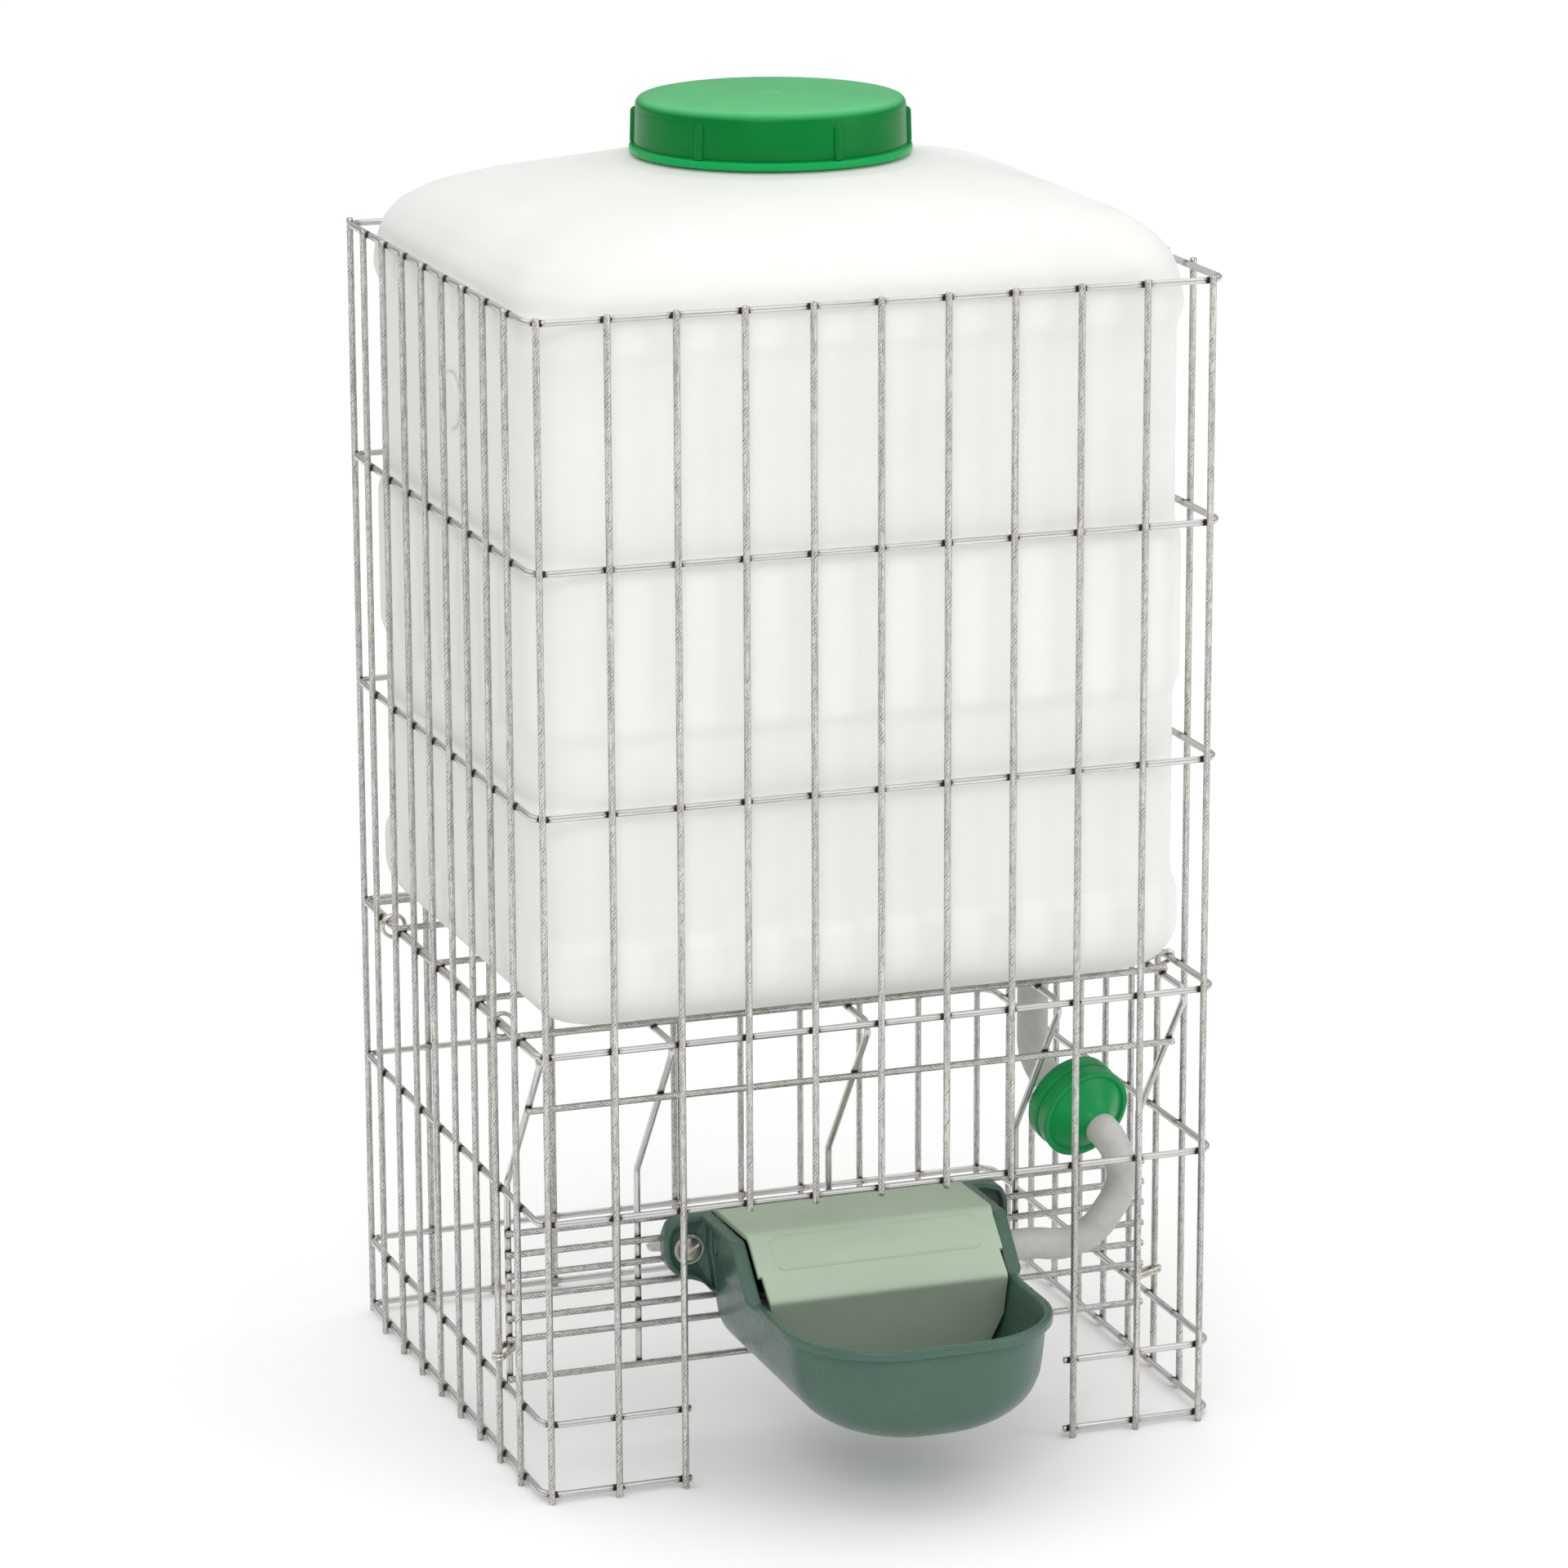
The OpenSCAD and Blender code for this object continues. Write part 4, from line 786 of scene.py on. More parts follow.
class FOUNT_OT_panel(bpy.types.Operator):
    """Bent panel that carries the tank and the bowl: long wires, cross wires and weld beads"""

    bl_idname = "fount.panel"
    bl_label = "Panel wires"

    LONG_SHADED, CROSS_SHADED = 0.3, 1.8  # the burns count from this much further off
    BEAD_SHARE, BEAD_SEEDS = 0.95, (31, 32)  # size of a bead over the cage's, seeds of the shelf and of the rest

    def execute(self, context):
        sizes = context.scene.fount_cage
        layout = CageLayout(sizes)
        paint, bright = context.scene.fount_finish, bpy.data.materials["bright_hoop_wire"]
        dull = wire_finish("rolled_cross_wire", tuple(paint.upright), tuple(paint.burn), DULL_ROUGH, "X")
        welds = panel_welds(layout.off)
        skin = PieceSkin()
        corners = [(0.0, PANEL_REAR, LONG_Z), (0.0, SHELF_FRONT, LONG_Z), (0.0, CARRIER_Y, CARRIER_TOP),
                   (0.0, CARRIER_Y, CARRIER_LOW)]
        one = rod(bent_path(corners, [PANEL_BEND] * 2, WIRE_STEP), layout.radius, WIRE_SIDES, X_AXIS)
        gap = weld_gap(one, welds[:CROSS_COUNT] - LONG_X[0] * X_AXIS) + self.LONG_SHADED
        skin.add(one + LONG_X[:, None, None, None] * X_AXIS, gap=np.minimum(gap, WELD_FAR))
        flat = np.abs(welds[:, 2] - (LONG_Z + CROSS_Z) / 2) < SAME
        size = sizes.bead / MM * self.BEAD_SHARE
        for seed, group, up in zip(self.BEAD_SEEDS, (welds[flat], welds[~flat]), (Y_AXIS, Z_AXIS)):
            skin.add(beads(group, X_AXIS, up, size, seed), gap=BEAD_GAP)
        skin.build("panel_long_wire", "base", bright, ["panel_long_wires"], sharp=WIRE_SHARP)
        carrier = np.c_[np.full(len(CARRIER_Z), CARRIER_AXIS), CARRIER_Z]
        rows = {
            "panel_shelf_wires": np.c_[SHELF_Y, np.full(len(SHELF_Y), CROSS_Z)],
            "panel_carrier_wires": np.concatenate([slant_place(layout.off)[None], carrier]),
        }
        path = straight((INNER_X - CROSS_END) * X_AXIS, (INNER_X + CROSS_END) * X_AXIS, WIRE_STEP)
        one = rod(path, layout.radius, WIRE_SIDES, Z_AXIS)
        for node, places in rows.items():
            skin = PieceSkin()
            grid = one + np.c_[np.zeros(len(places)), places][:, None, None]
            skin.add(grid, gap=np.minimum(weld_gap(grid, welds) + self.CROSS_SHADED, WELD_FAR))
            skin.build(node.replace("wires", "wire"), "base", dull, [node], sharp=WIRE_SHARP)
        return {"FINISHED"}


class FOUNT_OT_clips(bpy.types.Operator):
    """Two-turn rings that hang the panel in the cage"""

    bl_idname = "fount.clips"
    bl_label = "Clip rings"

    SHELF_CLIPS = ((-1, -74.7), (-1, 91.8), (1, -80.9), (1, 98.2))  # side of the cage, y
    UPRIGHT_CLIPS = ((-1, -79.2, 49.45), (1, -63.8, 46.95))  # side of the cage, y of the upright, height
    THINNER, ROOM = 0.1, 0.2  # radius that the ring's wire loses, gap between a wire and the ring round it
    NEAR, NEAR_SPAN, NEAR_GROW = 7.0, 0.1, 0.45  # wires that are closer have a rounder ring
    TIP_GAP = 0.2  # from the middle of the upper run to each tip of the ring
    SPACING, BEND_POINTS, SIDES, CHAMFER = 1.0, 17, 10, 0.15
    ZINC, ROUGH = (0.74, 0.73, 0.7), 0.26

    def execute(self, context):
        sizes = context.scene.fount_cage
        layout = CageLayout(sizes)
        thick = sizes.clip_wire / 2 / MM - self.THINNER
        reach = layout.radius + self.ROOM + thick
        shelf, side = layout.heights["hoop_shelf"], layout.half_w + layout.off
        long_x = {-1: LONG_X[0], 1: LONG_X[-1]}
        pairs = [((s * layout.half_w, y, shelf), (long_x[s], y, LONG_Z), Y_AXIS) for s, y in self.SHELF_CLIPS]
        pairs += [((s * side, y, z), (long_x[s], CARRIER_Y, z), Z_AXIS) for s, y, z in self.UPRIGHT_CLIPS]
        skin = PieceSkin()
        for first, second, across in pairs:
            first, second = np.array(first), np.array(second)
            apart = float(np.linalg.norm(second - first))
            if apart < self.NEAR:
                middle, half = (first + second) / 2, self.NEAR_SPAN * (second - first) / 2
                turn = self.loop(middle - half, middle + half, across, reach + self.NEAR_GROW * apart)
            else:
                turn = self.loop(first, second, across, reach)
            path = np.concatenate([turn[:-1], turn])
            path = path + np.linspace(-2.0, 2.0, len(path))[:, None] * thick * across  # a wire's width each turn
            skin.add(rod(path, thick, self.SIDES, across, self.CHAMFER))
        finish = plated_finish("clip_zinc", self.ZINC, self.ROUGH)
        skin.build("clip_ring_set", "base", finish, ["clip_rings"], sharp=WIRE_SHARP)
        return {"FINISHED"}

    def loop(self, first, second, across, reach):
        """One turn of an oval round two parallel wires: two half circles of radius reach joined by straight runs, from
        and to the middle of the upper run."""
        along = unit(second - first)
        up = np.cross(across, along)
        up = up if up[2] + up[1] * 0.1 >= 0 else -up  # upwards, or to the rear where the ring lies level
        bend = np.linspace(0.0, np.pi, self.BEND_POINTS)[:, None]
        near = first + reach * (np.cos(bend) * up - np.sin(bend) * along)
        far = second + reach * (-np.cos(bend) * up + np.sin(bend) * along)
        middle, tip = (first + second) / 2 + reach * up, self.TIP_GAP * along
        start, low, end = (straight(*ends, self.SPACING) for ends in (
            (middle - tip, near[0]), (near[-1], far[0]), (far[-1], middle + tip)))
        return distinct(np.concatenate([start, near, low, far, end]), 1e-4)


class FOUNT_OT_tank(bpy.types.Operator):
    """Blow-moulded tank with belts, dome, neck and round lug"""

    bl_idname = "fount.tank"
    bl_label = "Tank"

    DOME = np.array([  # share of the height, way in sideways, way in front to back, rounding of the outline
        (0.848, 0.0, 0.0, 0.0), (0.876, 0.011, 0.013, 0.03), (0.904, 0.045, 0.047, 0.06), (0.927, 0.111, 0.115, 0.14),
        (0.947, 0.229, 0.226, 0.3), (0.961, 0.392, 0.368, 0.54), (0.972, 0.578, 0.55, 0.79),
        (0.983, 0.759, 0.731, 0.99), (0.992, 0.904, 0.889, 1.0), (1.0, 1.0, 1.0, 1.0)])
    PAD = np.array([  # height, half width, half depth and edge radius of the pad under the foot
        (0, 0, 0, 0), (0, 60, 54, 24), (0, 77, 71, 30), (0.4, 78, 72, 30.5), (2.8, 81.6, 75.6, 32),
        (3, 82.6, 76.6, 32)], float)
    FOOT_STEP, FOOT_ROUND, FOOT_EDGE = 3.0, 26.0, 12.0  # height of the pad, rounding and edge radius of the foot
    FOOT_ROWS = 11
    BELTS = np.array([(41, 0), (46, 1), (130, 1), (136, 0), (198, 0), (204, 1), (290, 1), (296.5, 0)])  # height, recess
    SHOULDER = 14.0  # width of the collar round the neck
    NECK = np.array([  # radius over the neck's own, height over the collar
        (13.0, 0.1), (6.5, 1.5), (5.5, 1.8), (0.4, 1.8), (0.0, 2.2), (0.0, 6.9), (0.9, 7.7), (1.2, 8.3), (1.2, 9.2),
        (0.9, 9.8), (0.0, 10.6), (0.0, 18.5), (-0.3, 19.1), (-0.8, 19.3), (-2.7, 19.3), (-3.2, 19.1), (-3.5, 18.5),
        (-3.5, -2.0), (-2.6, -2.8)])
    LUG = [(0.0, 1.8), (10.9, 1.8), (11.5, 1.65), (11.9, 1.2), (12.0, 0.7), (12.1, 0.2), (12.8, 0.0), (12.8, -1.0),
           (0.0, -1.0)]  # radius, way out of the left field
    LUG_Y, LUG_UP = -5.0, 257.0  # its middle, from the middle of the cage and from the foot
    LUG_SIDES = 48
    INNER_EDGE = 6.0  # least edge radius of the inside
    SOFT_STEP, SOFT_SPREAD = 1.5, 2.0  # how the outside is softened
    ARC_POINTS, RUN_POINTS = 12, 12  # columns of a rounded edge and of the straight run beside it

    def execute(self, context):
        sizes = context.scene.fount_tank
        skin = PieceSkin()
        rows = self.profile(sizes)
        shares = [np.linspace(0.0, 1.0, self.RUN_POINTS)[1:-1]] * 4
        ring = oblong_rings(rows[:, 1], rows[:, 2], rows[:, 3], self.ARC_POINTS, shares)
        height = np.broadcast_to(rows[:, :1, None], (*ring.shape[:2], 1))
        skin.add(np.concatenate([ring + [INNER_X, 0.0], height], 2))
        lug = (INNER_X - (sizes.half_width - sizes.recess) / MM, self.LUG_Y, sizes.bottom / MM + self.LUG_UP)
        skin.add(turned(self.LUG, self.LUG_SIDES, lug, -X_AXIS, Z_AXIS))
        finish = tank_finish(tuple(context.scene.fount_finish.tank))
        skin.build("tank_body", "tank", finish, ["tank_shell"], sharp=50.0)
        return {"FINISHED"}

    def profile(self, sizes):
        """Rows (height, half width, half depth, edge radius) from the middle of the foot up the outside, over the neck
        and down the inside to the middle of the floor."""
        a, b, r = sizes.half_width / MM, sizes.half_depth / MM, sizes.edge / MM
        base, tall, neck = sizes.bottom / MM, sizes.height / MM, sizes.neck / MM
        wall, recess = sizes.wall / MM, sizes.recess / MM
        bend = np.radians(np.linspace(0.0, 90.0, self.FOOT_ROWS))
        foot = np.c_[self.FOOT_STEP + self.FOOT_ROUND * (1 - np.cos(bend)), self.FOOT_ROUND * (1 - np.sin(bend)),
                     np.linspace(self.FOOT_EDGE, r, self.FOOT_ROWS)]
        way_in = recess * self.BELTS[:, 1]
        side = np.concatenate([foot, np.c_[self.BELTS[:, 0], way_in, r - way_in]])
        walls = np.c_[side[:, 0], a - side[:, 1], b - side[:, 1], side[:, 2]]
        ring = neck + self.SHOULDER
        share, in_a, in_b, rounding = self.DOME.T
        dome_a, dome_b = a + (ring - a) * in_a, b + (ring - b) * in_b
        dome_r = np.minimum(r + (ring - r) * rounding, np.minimum(dome_a, dome_b))
        dome = np.c_[tall * share, dome_a, dome_b, dome_r]
        outer = soften(np.concatenate([walls, dome]), self.SOFT_STEP, self.SOFT_SPREAD)
        outer[:, 3] = np.minimum(outer[:, 3], np.minimum(outer[:, 1], outer[:, 2]))
        outer[:, 0] += base
        slope = unit(np.gradient(outer[:, :2], axis=0))
        inner = outer.copy()
        inner[:, 0] += wall * slope[:, 1]
        inner[:, 1:3] -= wall * slope[:, :1]
        roundest = np.minimum(inner[:, 1], inner[:, 2])
        inner[:, 3] = np.clip(inner[:, 3] - wall * slope[:, 0], self.INNER_EDGE, roundest)
        inner = inner[::2]  # the inside does with half the rows
        pad = self.PAD + [base, 0.0, 0.0, 0.0]
        around = np.c_[base + tall + self.NECK[:, 1], np.repeat(neck + self.NECK[:, :1], 3, 1)]
        floor = np.array([[inner[0, 0], 0.0, 0.0, 0.0]])
        return np.concatenate([pad, outer, around, inner[::-1], floor])


class FOUNT_OT_cap(bpy.types.Operator):
    """Screw cap with grip ribs, foot flange and crowned top"""

    bl_idname = "fount.cap"
    bl_label = "Cap"

    RIBS, FIRST_RIB, RIB_HALF, RIB_TOP = 6, 9.6, 2.1, 17.0  # count, degrees, half width, height over the foot
    RIB_COLUMNS = np.array([0.0, 0.55, 1.1, 1.5, 1.75, 1.9, 2.05, 2.4, 3.2])  # degrees from a rib's spine
    FILL_COLUMNS = 25  # from one spine to the next; the two at each end are left to the rib
    WALL_LOW, WALL_HIGH, WALL_RADIUS = 3.5, 20.0, 58.0  # the rows that carry the ribs
    PAINTED_LIGHT_BANDS = [(0.577, 0.5805, (0.07, 0.47, 0.16)), (0.5602, 0.5594, (0.004, 0.36, 0.085))]  # painted light: top and flange painted paler, as if lit from above
    ROWS = np.array([  # radius, height over the foot
        (0.0, 22.7), (28.0, 22.3), (43.0, 21.8), (47.0, 18.9), (54.6, 18.9), (55.0, 18.5), (55.0, 0.4), (55.4, 0.0),
        (60.7, 0.0), (61.2, 0.2), (61.5, 0.7), (61.5, 2.5), (61.3, 3.0), (60.8, 3.3), (60.1, 3.35), (59.5, 3.3),
        (59.1, 3.6), (59.35, 4.6), (59.3, 7.0), (59.2, 10.0), (59.1, 13.0), (59.05, 15.5), (59.0, 16.5), (59.0, 17.2),
        (58.97, 17.7), (58.95, 18.1), (58.9, 18.45), (58.85, 18.75), (58.83, 19.0), (58.8, 19.3), (58.75, 20.2),
        (58.6, 21.2), (58.3, 22.0), (57.8, 22.7), (57.1, 23.3), (56.0, 23.8), (54.0, 24.2), (50.0, 24.55),
        (43.0, 24.9), (36.0, 25.1), (28.0, 25.3), (18.0, 25.55), (8.0, 25.7), (3.9, 25.7), (3.5, 25.8), (3.2, 26.05),
        (2.6, 26.1), (1.2, 26.0), (0.0, 25.95)])

    def execute(self, context):
        sizes = context.scene.fount_tank
        near = np.radians(np.r_[-self.RIB_COLUMNS[:0:-1], self.RIB_COLUMNS])
        first, step = math.radians(self.FIRST_RIB - 90.0), 2 * np.pi / self.RIBS
        ribs = first + step * np.arange(self.RIBS)
        between = np.linspace(0.0, step, self.FILL_COLUMNS)[2:-2]
        turn = np.sort(np.concatenate([(ribs[:, None] + near).ravel(), (ribs[:, None] + between).ravel()]))
        turn = np.r_[turn, turn[0] + 2 * np.pi]
        radius, height = self.ROWS[:, :1], self.ROWS[:, 1:]
        aside = (turn - first + step / 2) % step - step / 2
        outside = (height > self.WALL_LOW) & (height < self.WALL_HIGH) & (radius > self.WALL_RADIUS)
        from_spine = np.hypot(radius * aside, np.maximum(height - self.RIB_TOP, 0.0)) / self.RIB_HALF
        reach = radius + sizes.rib_height / MM * np.sqrt(np.maximum(1.0 - from_spine ** 2, 0.0)) * outside
        height = np.broadcast_to(height + sizes.cap_foot / MM, reach.shape)
        skin = PieceSkin()
        skin.add(np.stack([INNER_X + reach * np.cos(turn), reach * np.sin(turn), height], -1))
        # the cap's top and flange are painted paler: painted light
        finish = moulded_finish("cap_plastic", tuple(context.scene.fount_finish.cap), rough=0.3, grain_size=900.0,
                                depth=0.00002, streak=0.05, painted_light_bands=self.PAINTED_LIGHT_BANDS, Specular_IOR_Level=0.12)
        skin.build("cap_cover", "cap", finish, ["cap"], sharp=40.0)
        return {"FINISHED"}


FILTER_AT = np.array([110.878, -95.127, 134.088])  # middle of the front rim
FILTER_DIR = np.array([0.193, -0.93755, -0.2894])  # the way the water runs
FILTER_BAND, FILTER_CONE = 15.0, 11.0  # length of the two cups' band and of the cone at each end


class FOUNT_OT_hoses(bpy.types.Operator):
    """The two hoses, swollen where they sit on their spigots"""

    bl_idname = "fount.hoses"
    bl_label = "Hoses"

    UPPER = [(102.0, -52.0, 194.0), (102.0, -52.0, 147.4), tuple(FILTER_AT - (FILTER_BAND + FILTER_CONE) * FILTER_DIR)]
    LOWER = [(113.001, -105.44, 130.904), (115.221, -116.222, 127.576), (124.5, -108.84, 105.4), (106.7, -102.2, 75.0),
             (85.0, -99.9, 79.0), (62.5, -99.9, 79.0)]
    UPPER_BENDS, UPPER_ACROSS = [16.0], (0.98, 0.18, 0.0)  # bend radii, a direction across the hose
    LOWER_BENDS, LOWER_ACROSS = [9.5, 24.0, 24.0, 40.0], (0.55, 0.82, -0.1)
    SPACING, SIDES = 1.5, 28
    SWELL, SWELL_FADE = 0.4, (5.4, 12.6)  # how far an end swells, and where that fades, counted from the end
    EDGE_DROP, EDGE_LENGTH = 0.25, 0.7  # how a cut end is rounded
    ROUGH = 0.5

    def execute(self, context):
        sizes = context.scene.fount_water
        finish = rubber_finish("hose_rubber", tuple(context.scene.fount_finish.hose), self.ROUGH)
        for name, node, corners, radii, across in (
            ("hose_tank_to_filter", "hose_upper", self.UPPER, self.UPPER_BENDS, self.UPPER_ACROSS),
            ("hose_filter_to_valve", "hose_lower", self.LOWER, self.LOWER_BENDS, self.LOWER_ACROSS),
        ):
            path = bent_path(corners, radii, self.SPACING)
            along = run_length(path)
            from_end = np.minimum(along, along[-1] - along)
            swell = self.SWELL * (1.0 - ease(*self.SWELL_FADE, from_end))
            swell = swell - self.EDGE_DROP * (1.0 - ease(0.0, self.EDGE_LENGTH, from_end))
            outer = rings_along(path, sizes.hose / 2 / MM + swell, self.SIDES, across)
            inner = rings_along(path, sizes.hose_bore / 2 / MM, self.SIDES, across)
            skin = PieceSkin()
            skin.add(np.concatenate([outer, inner[::-1], outer[:1]]))
            skin.build(name, "base", finish, [node], sharp=50.0)
        return {"FINISHED"}


class FOUNT_OT_filter(bpy.types.Operator):
    """Inline filter: two cups with rims and conical faces"""

    bl_idname = "fount.filter"
    bl_label = "Filter"

    SIDES = 72

    def execute(self, context):
        r = context.scene.fount_water.filter_radius / MM
        b, c = FILTER_BAND, FILTER_CONE
        m, e = -b / 2, -b - c  # where the cups meet, and the rear end of the cone
        finish = moulded_finish("filter_plastic", tuple(context.scene.fount_finish.strainer), rough=0.33,
                                grain_size=900.0, depth=0.00002, streak=0.06, Specular_IOR_Level=0.2)
        rear = [(3.0, e - 7.5), (4.9, e - 7.5), (4.9, e + 0.2), (6.3, e + 0.2), (6.6, e + 0.5), (6.9, e + 1.4),
                (7.6, e + 2.4), (r - 3.4, -b - 0.4), (r - 2.4, -b - 0.1), (r - 1.0, -b), (r - 0.4, -b + 0.15),
                (r, -b + 0.7), (r, m - 0.7), (r - 0.15, m - 0.3), (r - 0.5, m - 0.1), (r - 2.5, m - 0.1),
                (r - 2.5, -b + 1.5), (5.5, e + 4.0), (3.0, e + 1.0), (3.0, e - 7.5)]
        front = [(r - 2.5, m + 0.1), (r - 0.75, m + 0.1), (r - 0.42, m + 0.25), (r - 0.3, m + 0.7), (r - 0.3, -2.4),
                 (r - 0.1, -1.9), (r, -1.5), (r, -0.7), (r - 0.25, -0.2), (r - 0.8, 0.0), (r - 1.9, 0.0),
                 (r - 2.3, -0.15), (r - 2.6, -0.7), (r - 3.0, -0.9), (r - 3.5, -0.6), (r - 4.4, 0.3), (9.6, 6.6),
                 (8.1, 8.2), (7.2, 9.4), (6.8, 10.3), (6.5, c - 0.2), (4.9, c - 0.2), (4.9, c + 2.6), (4.0, c + 6.0),
                 (3.0, c + 6.0), (3.0, c - 1.0), (5.5, c - 4.0), (r - 2.5, -2.6), (r - 2.5, m + 0.1)]
        for name, node, profile in (
            ("filter_rear_cup", "filter_body", rear), ("filter_front_cup", "filter_cover", front),
        ):
            skin = PieceSkin()
            skin.add(turned(profile, self.SIDES, FILTER_AT, FILTER_DIR, Z_AXIS))
            skin.build(name, "base", finish, [node], sharp=42.0)
        return {"FINISHED"}


BOWL_BACK = -74.9  # y of the bowl's back plane
BOWL_HOME = np.array([INNER_X, BOWL_BACK, 0.0])
BOLT_Z = 87.45


class FOUNT_OT_bowl(bpy.types.Operator):
    """Drinking bowl: deep trough, cheeks with a lip, clip slots, ears and valve boss"""

    bl_idname = "fount.bowl"
    bl_label = "Bowl"

    OUTER = np.array([  # height, half width, front, back, front radius
        (35, 20, 121, 16, 17), (35.8, 28, 128, 11.5, 23.5), (37.5, 34.5, 133, 8, 29), (40.4, 41, 138, 4.5, 34),
        (44.3, 47, 142, 2, 38), (49.2, 51.5, 144.8, 0.4, 41), (56, 54.9, 146.1, 0, 43), (64.3, 56.2, 146.5, 0, 44),
        (77, 57.6, 146.8, 0, 44.5)], float)
    INNER = np.array([  # the same, from the top down
        (77, 55, 144.2, 3, 42), (64.5, 53.4, 143.6, 3, 41.2), (56.5, 51.9, 143.2, 3.2, 40),
        (50.2, 48.7, 141.8, 3.8, 38), (45.6, 44.5, 139, 5.4, 35), (42, 39.2, 135.2, 8, 31),
        (39.4, 33, 130.4, 11.6, 26.5), (38, 26.5, 125.2, 15, 21), (37.6, 19, 119, 19.5, 15)], float)
    SOFT_STEP, SOFT_SPREAD = 2.0, 2.2  # how both are softened
    TROUGH_TOP, LEDGE = 77.0, 78.5  # height of the trough's wall and of the ledge over it
    LEDGE_ROWS = np.array([  # height; half width and front from the rim's; back, front radius
        (77.35, -1.9, -1.8, 0.0, 44.6), (77.75, -0.7, -0.7, 0.0, 44.8), (78.2, -0.15, -0.15, 0.0, 45.0)])
    TOP_ROW = np.array([(0.0, 0.0, 0.0, 0.0, 45.0)])  # the rim in the same columns, at any height
    INNER_ROWS = np.array([  # inside of the cheek, of the rim and of the trough's top
        (0.0, -2.6, -4.0, 3.0, 42.0), (0.0, -3.4, -4.0, 3.0, 42.0), (0.0, -5.0, -4.8, 3.0, 42.0)])
    CORNER, CORNER_IN = 5.0, 2.4  # radii of the rear corners, outside and inside
    ARC_POINTS, BACK_POINTS, FRONT_POINTS = 14, 12, 8
    SIDE_D = np.array([  # columns of the sides, counted from the back plane
        7.0, 9.0, 13.0, 17.0, 22.0, 27.0, 32.0, 37.0, 42.0, 45.0, 48.0, 50.5, 53.5, 57.0, 60.0, 62.5, 64.9, 66.2, 67.5,
        69.0, 71.0, 74.0, 79.0, 85.0, 91.0, 97.0])
    MIDDLE = (0.0, -70.0)  # where the floors close
    CHEEK_D, CHEEK_DROP = (48.0, 64.9, 69.0), 3.5  # where the cheeks fall to the rim
    LIP, LIP_DEPTH = 3.5, 3.0
    LIP_START, LIP_END, PLAIN_END = (1.0, 5.0), (66.0, 70.5), (66.4, 67.6)  # where the lip and the plain wall fade
    LIP_ROWS = ((2.75, 0.3, 0.0), (2.55, 0.75, 0.0), (2.2, 1.0, 0.0), (0.95, 1.0, 0.0), (0.4, 1.0, 0.18),
                (0.1, 1.0, 0.55), (0.0, 1.0, 1.1))  # way below the edge, share of the lip, inset
    INNER_LIP_ROWS = ((0.0, 1.0), (0.1, 0.5), (0.4, 0.15))  # way below the edge, way out
    INNER_DROP = 1.0  # from the edge to the inner wall
    TAPER_LOW, TAPER_Z, LEDGE_TAPER, LIP_TAPER = 0.8, (50.0, 64.0), (0.95, 2.05, 2.55), 1.2  # of the plain wall
    WALL_TAPER, WALL_LEAN = 2.7, 1.5  # its taper over the ledge, and how much of that is gone under the lip
    RISE, FALL = (0.0, 0.15, 0.85, 1.0), (0.0, 0.5, 0.85)  # rows of the wall outside and inside, beside the slots' own
    SLOT_D, SLOT_Z = 9.0, (85.45, 93.45)  # rear column and heights of the clip slots, which are one column wide
    BOLT_OUT = 8.0  # from the side of the rim to the bolt
    BOSS = np.array([  # radius, way out of the side of the rim
        (0.0, -7.0), (10.6, -7.0), (11.0, -6.6), (11.0, 1.1), (10.6, 1.5), (0.0, 1.5)])
    BOSS_PLACE, BOSS_SIDES = (0.0, -25.0, 79.0), 48
    EAR = [(-9.6, 16.2), (-4.0, 16.2), (2.5, 15.9), (9.6, 13.4), (12.1, 7.5), (12.1, -1.0), (10.3, -6.9), (6.2, -10.9),
           (0.5, -12.5), (-4.2, -14.2), (-7.2, -16.6), (-9.0, -19.4), (-12.3, -20.2)]  # out and up from the bolt
    EAR_ROWS = [(0.5, 0.0), (0.0, 0.5), (0.0, 4.0), (0.0, 8.0), (0.2, 8.35), (0.6, 8.5), (1.8, 8.5), (2.2, 8.35),
                (2.4, 8.0), (2.4, 3.6), (2.7, 3.15), (3.3, 3.0)]  # inset, reach
    EAR_STEP, EAR_SPREAD, EAR_CLOSE = 0.9, 1.1, 1.5  # how its outline is softened, spacing of the run that closes it

    def execute(self, context):
        sizes = context.scene.fount_water
        half, reach, rim, cheek = (
            v / MM for v in (sizes.bowl_half, sizes.bowl_reach, sizes.bowl_rim, sizes.bowl_cheek))
        rim_size = np.array([0.0, half, reach, 0.0, 0.0])
        share = (self.SIDE_D - self.CORNER) / (reach - self.TOP_ROW[0, 4] - self.CORNER)
        back, front = (np.linspace(0, 1, count)[1:-1] for count in (self.BACK_POINTS, self.FRONT_POINTS))
        shares = [back, share, front, 1 - share[::-1]]

        def outline(rows, corner):
            """D-shaped outlines of rows of (height, half width, front, back, front radius)."""
            return trough_rings(rows[:, 1], rows[:, 2], rows[:, 3], rows[:, 4], corner, self.ARC_POINTS, shares)

        def level(outline_row, heights):
            """Outlines lifted to their heights."""
            return np.concatenate([outline_row, np.broadcast_to(heights, outline_row.shape[:-1])[..., None]], -1)

        top = outline(rim_size + self.TOP_ROW, self.CORNER)[0]
        inner_top = outline(rim_size + self.INNER_ROWS, self.CORNER_IN)
        d = -top[:, 1]
        edge = np.interp(d, self.CHEEK_D, [cheek, rim + self.CHEEK_DROP, rim])
        tangent = np.gradient(np.concatenate([top[-2:-1], top, top[1:2]]), axis=0)[1:-1]
        normal = unit(np.stack([tangent[:, 1], -tangent[:, 0]], -1))
        start = ease(*self.LIP_START, d)
        lip = self.LIP * start * (1.0 - ease(*self.LIP_END, d))
        plain = (start * (1.0 - ease(*self.PLAIN_END, d)))[:, None] * normal

